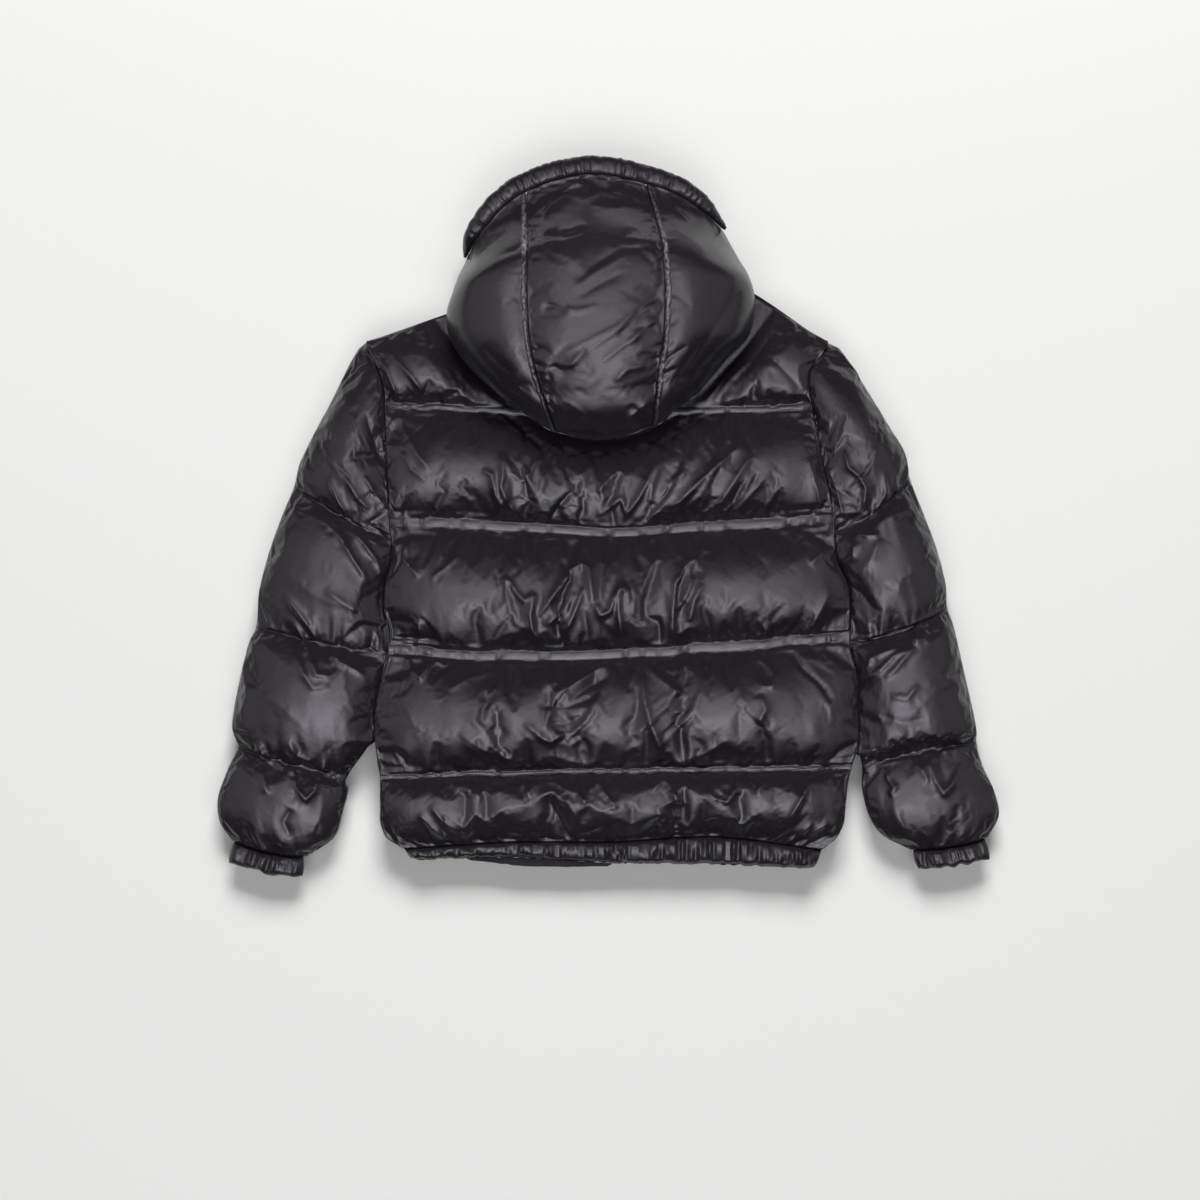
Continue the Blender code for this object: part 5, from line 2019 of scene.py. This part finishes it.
HOOD_CREASES = (
    Crease(1.3, 2.6, ((-44, 160), (-18, 172), (10, 186), (37, 208))),
    Crease(1.1, 2.4, ((-24, 160), (0, 176), (26, 192), (46, 214))),
    Crease(1.2, 2.6, ((-58, 212), (-44, 202), (-30, 200), (-8, 206))),
    Crease(1.1, 3.0, ((-34, 222), (-16, 236), (6, 250), (30, 262))),
    Crease(-1.1, 3.0, ((-30, 214), (-10, 226), (14, 238))),
    Crease(1.0, 2.4, ((-8, 150), (12, 166), (34, 180))),
    Crease(2.2, 4.0, ((-65, 294), (-56, 308), (-46, 316), (-36, 321))),
    Crease(-2.0, 2.6, ((-74, 274), (-60, 275), (-44, 274), (-22, 281))),
    Crease(1.6, 4.0, ((-50, 281), (-36, 280), (-22, 287))),
    Crease(-2.0, 2.8, ((-66, 204), (-54, 206), (-40, 200))),
    Crease(-2.2, 8.0, ((-32, 228), (-14, 246), (12, 262), (46, 264))),
    Crease(1.8, 5.0, ((14, 272), (30, 270), (44, 272))),
    Crease(-1.8, 3.2, ((24, 196), (38, 208), (52, 218))),
    Crease(1.6, 3.2, ((20, 168), (32, 182), (50, 196))),
    Crease(-1.5, 3.0, ((10, 176), (24, 192), (44, 202))),
    Crease(2.0, 3.6, ((-44, 144), (-34, 152), (-22, 164))),
    Crease(-1.8, 3.0, ((-58, 150), (-46, 142), (-34, 146))),
    Crease(2.6, 3.0, ((14, 92), (26, 104), (40, 115))),
    Crease(1.8, 4.0, ((6, 132), (18, 145), (36, 148))),
    Crease(-1.8, 2.8, ((40, 128), (56, 140), (68, 146))),
    Crease(-1.6, 3.2, ((46, 140), (60, 156), (78, 168))),
    Crease(1.6, 3.4, ((-2, 325), (20, 321), (38, 309))),
    Crease(1.4, 3.4, ((20, 328), (34, 318), (42, 304))),
    Crease(1.4, 3.6, ((58, 322), (66, 306), (82, 290))),
    Crease(-1.6, 7.0, ((64, 126), (88, 160), (114, 200), (136, 232))),
    Crease(1.5, 8.0, ((60, 288), (78, 276), (98, 258))),
    Crease(-1.2, 6.0, ((-124, 168), (-108, 150), (-92, 138))),
    Crease(1.3, 9.0, ((-136, 250), (-116, 268), (-98, 282))),
    Crease(-1.4, 4.0, ((-80, 272), (-92, 262), (-110, 256))),
)
FOLDS_LEFT = (
    # x0, y0, x1, y1, rise, width, bow in mm
    (-256, 120, -236, 62, 1.6, 6, 6),
    (-288, 84, -240, 22, 1.6, 6, 8),
    (-318, 10, -262, -24, 1.6, 6, -6),
    (-336, -36, -262, -88, 1.7, 7, 8),
    (-246, -40, -258, -96, 1.6, 6, -6),
    (-350, -118, -286, -160, 1.6, 7, 8),
    (-262, -140, -250, -200, 1.6, 6, 6),
    (-366, -170, -300, -216, 1.7, 7, -9),
    (-372, -240, -318, -282, 1.6, 6, 7),
    (-286, -272, -300, -318, 1.6, 6, -5),
)
FOLDS_RIGHT = (
    (236, 126, 222, 66, 1.6, 6, -6),
    (272, 92, 236, 24, 1.6, 6, -8),
    (306, 8, 254, -20, 1.6, 6, 6),
    (322, -26, 256, -80, 1.7, 7, -8),
    (262, -34, 270, -92, 1.6, 6, 6),
    (338, -104, 284, -148, 1.6, 7, -8),
    (268, -136, 262, -200, 1.6, 6, -6),
    (356, -160, 296, -206, 1.7, 7, 9),
    (368, -240, 312, -280, 1.6, 6, -7),
    (282, -268, 300, -314, 1.6, 6, 5),
)


def sew_lines(thread: Stitching, back: BackPanel, puffed: np.ndarray, sleeves: list) -> None:
    """Sews the quilting rows of the back and the sleeves.

    Args:
        thread: Stitching that takes the rows.
        back: The back.
        puffed: Inflated grid of the back.
        sleeves: Pairs of a sleeve and its inflated grid.
    """
    edges = np.nonzero((back.share == 0) | (back.share == 1))[0]
    for row in edges[1:-1]:
        path = puffed[row]
        thread.sew(path[(path[:, 1] < 0.25)][3:-3], 0.0003)
    for sleeve, grid in sleeves:
        for row in np.nonzero(np.isin(sleeve.t, sleeve.breaks[1:-1]))[0]:
            thread.sew(grid[row][3:-3], 0.0003)


def main() -> None:
    """Builds, dresses and lights the jacket."""
    logging.basicConfig(level=logging.INFO, format="%(message)s")
    wardrobe = Wardrobe()
    plan = BodyPlan()
    back = BackPanel(plan)
    left = Sleeve(plan, True, SLEEVE_LEFT, (-0.3825, -0.3440, -0.3060, -0.3605), FOLDS_LEFT, CREASES_LEFT)
    right = Sleeve(plan, False, SLEEVE_RIGHT, (0.3840, -0.3410, 0.3095, -0.3520), FOLDS_RIGHT, CREASES_RIGHT)
    hood = Hood()
    puffing = Puffing()
    for name, maker in (("back", back), ("left", left), ("right", right)):
        puffing.add(name, *maker.start(), maker.swell, maker.pressure)
    for panel in range(3):
        swell, pressure = (hood.swell, hood.pressure) if panel == 1 else ((0.001, 0.01), 1.5)
        puffing.add(f"hood{panel}", *hood.start(panel), swell, pressure)
    puffed = puffing.run()
    thread = Stitching()
    sew_lines(thread, back, puffed["back"], [(left, puffed["left"]), (right, puffed["right"])])

    nylon = wardrobe.nylon
    wardrobe.dress(back.finish(puffed["back"]), nylon, ("back",))
    wardrobe.dress(FrontPanel(plan, True).build(), nylon, ("front_left",))
    wardrobe.dress(FrontPanel(plan, False).build(), nylon, ("front_right",))
    hem = HemCasing(plan)
    wardrobe.dress(hem.build("hem_casing_back", 0.0, 1.0, True, 560, 41), nylon, ("hem_back",))
    for name, start, end, seed in (("left", 0.0, 0.4495, 43), ("right", 0.5275, 1.0, 45)):
        piece = hem.build(f"hem_casing_{name}", start, end, False, 240, seed)
        wardrobe.dress(piece, nylon, (f"hem_front_{name}",))
    wardrobe.dress(HemFacing(plan, hem).build(), wardrobe.facing, ("hem_facing",))
    for side, name in ((left, "left"), (right, "right")):
        wardrobe.dress(side.finish(puffed[name]), nylon, (f"sleeve_{name}",))
        wardrobe.dress(side.cuff(), nylon, (f"cuff_{name}",))
    for panel, node in enumerate(("hood_side_left", "hood_centre", "hood_side_right")):
        wardrobe.dress(hood.finish(panel, puffed[f"hood{panel}"]), nylon, (node,))
    wardrobe.dress(hood.casing(), nylon, ("hood_casing",))
    wardrobe.dress(hood.under(), nylon, ("hood_under",))
    zipper = FrontZip()
    wardrobe.dress(zipper.chain(), wardrobe.zip, ("zip_chain",))
    wardrobe.dress(zipper.slider(), wardrobe.zip, ("zip_slider",))
    wardrobe.dress(thread.build(), wardrobe.thread)
    Studio().build()


if __name__ == "__main__":
    main()
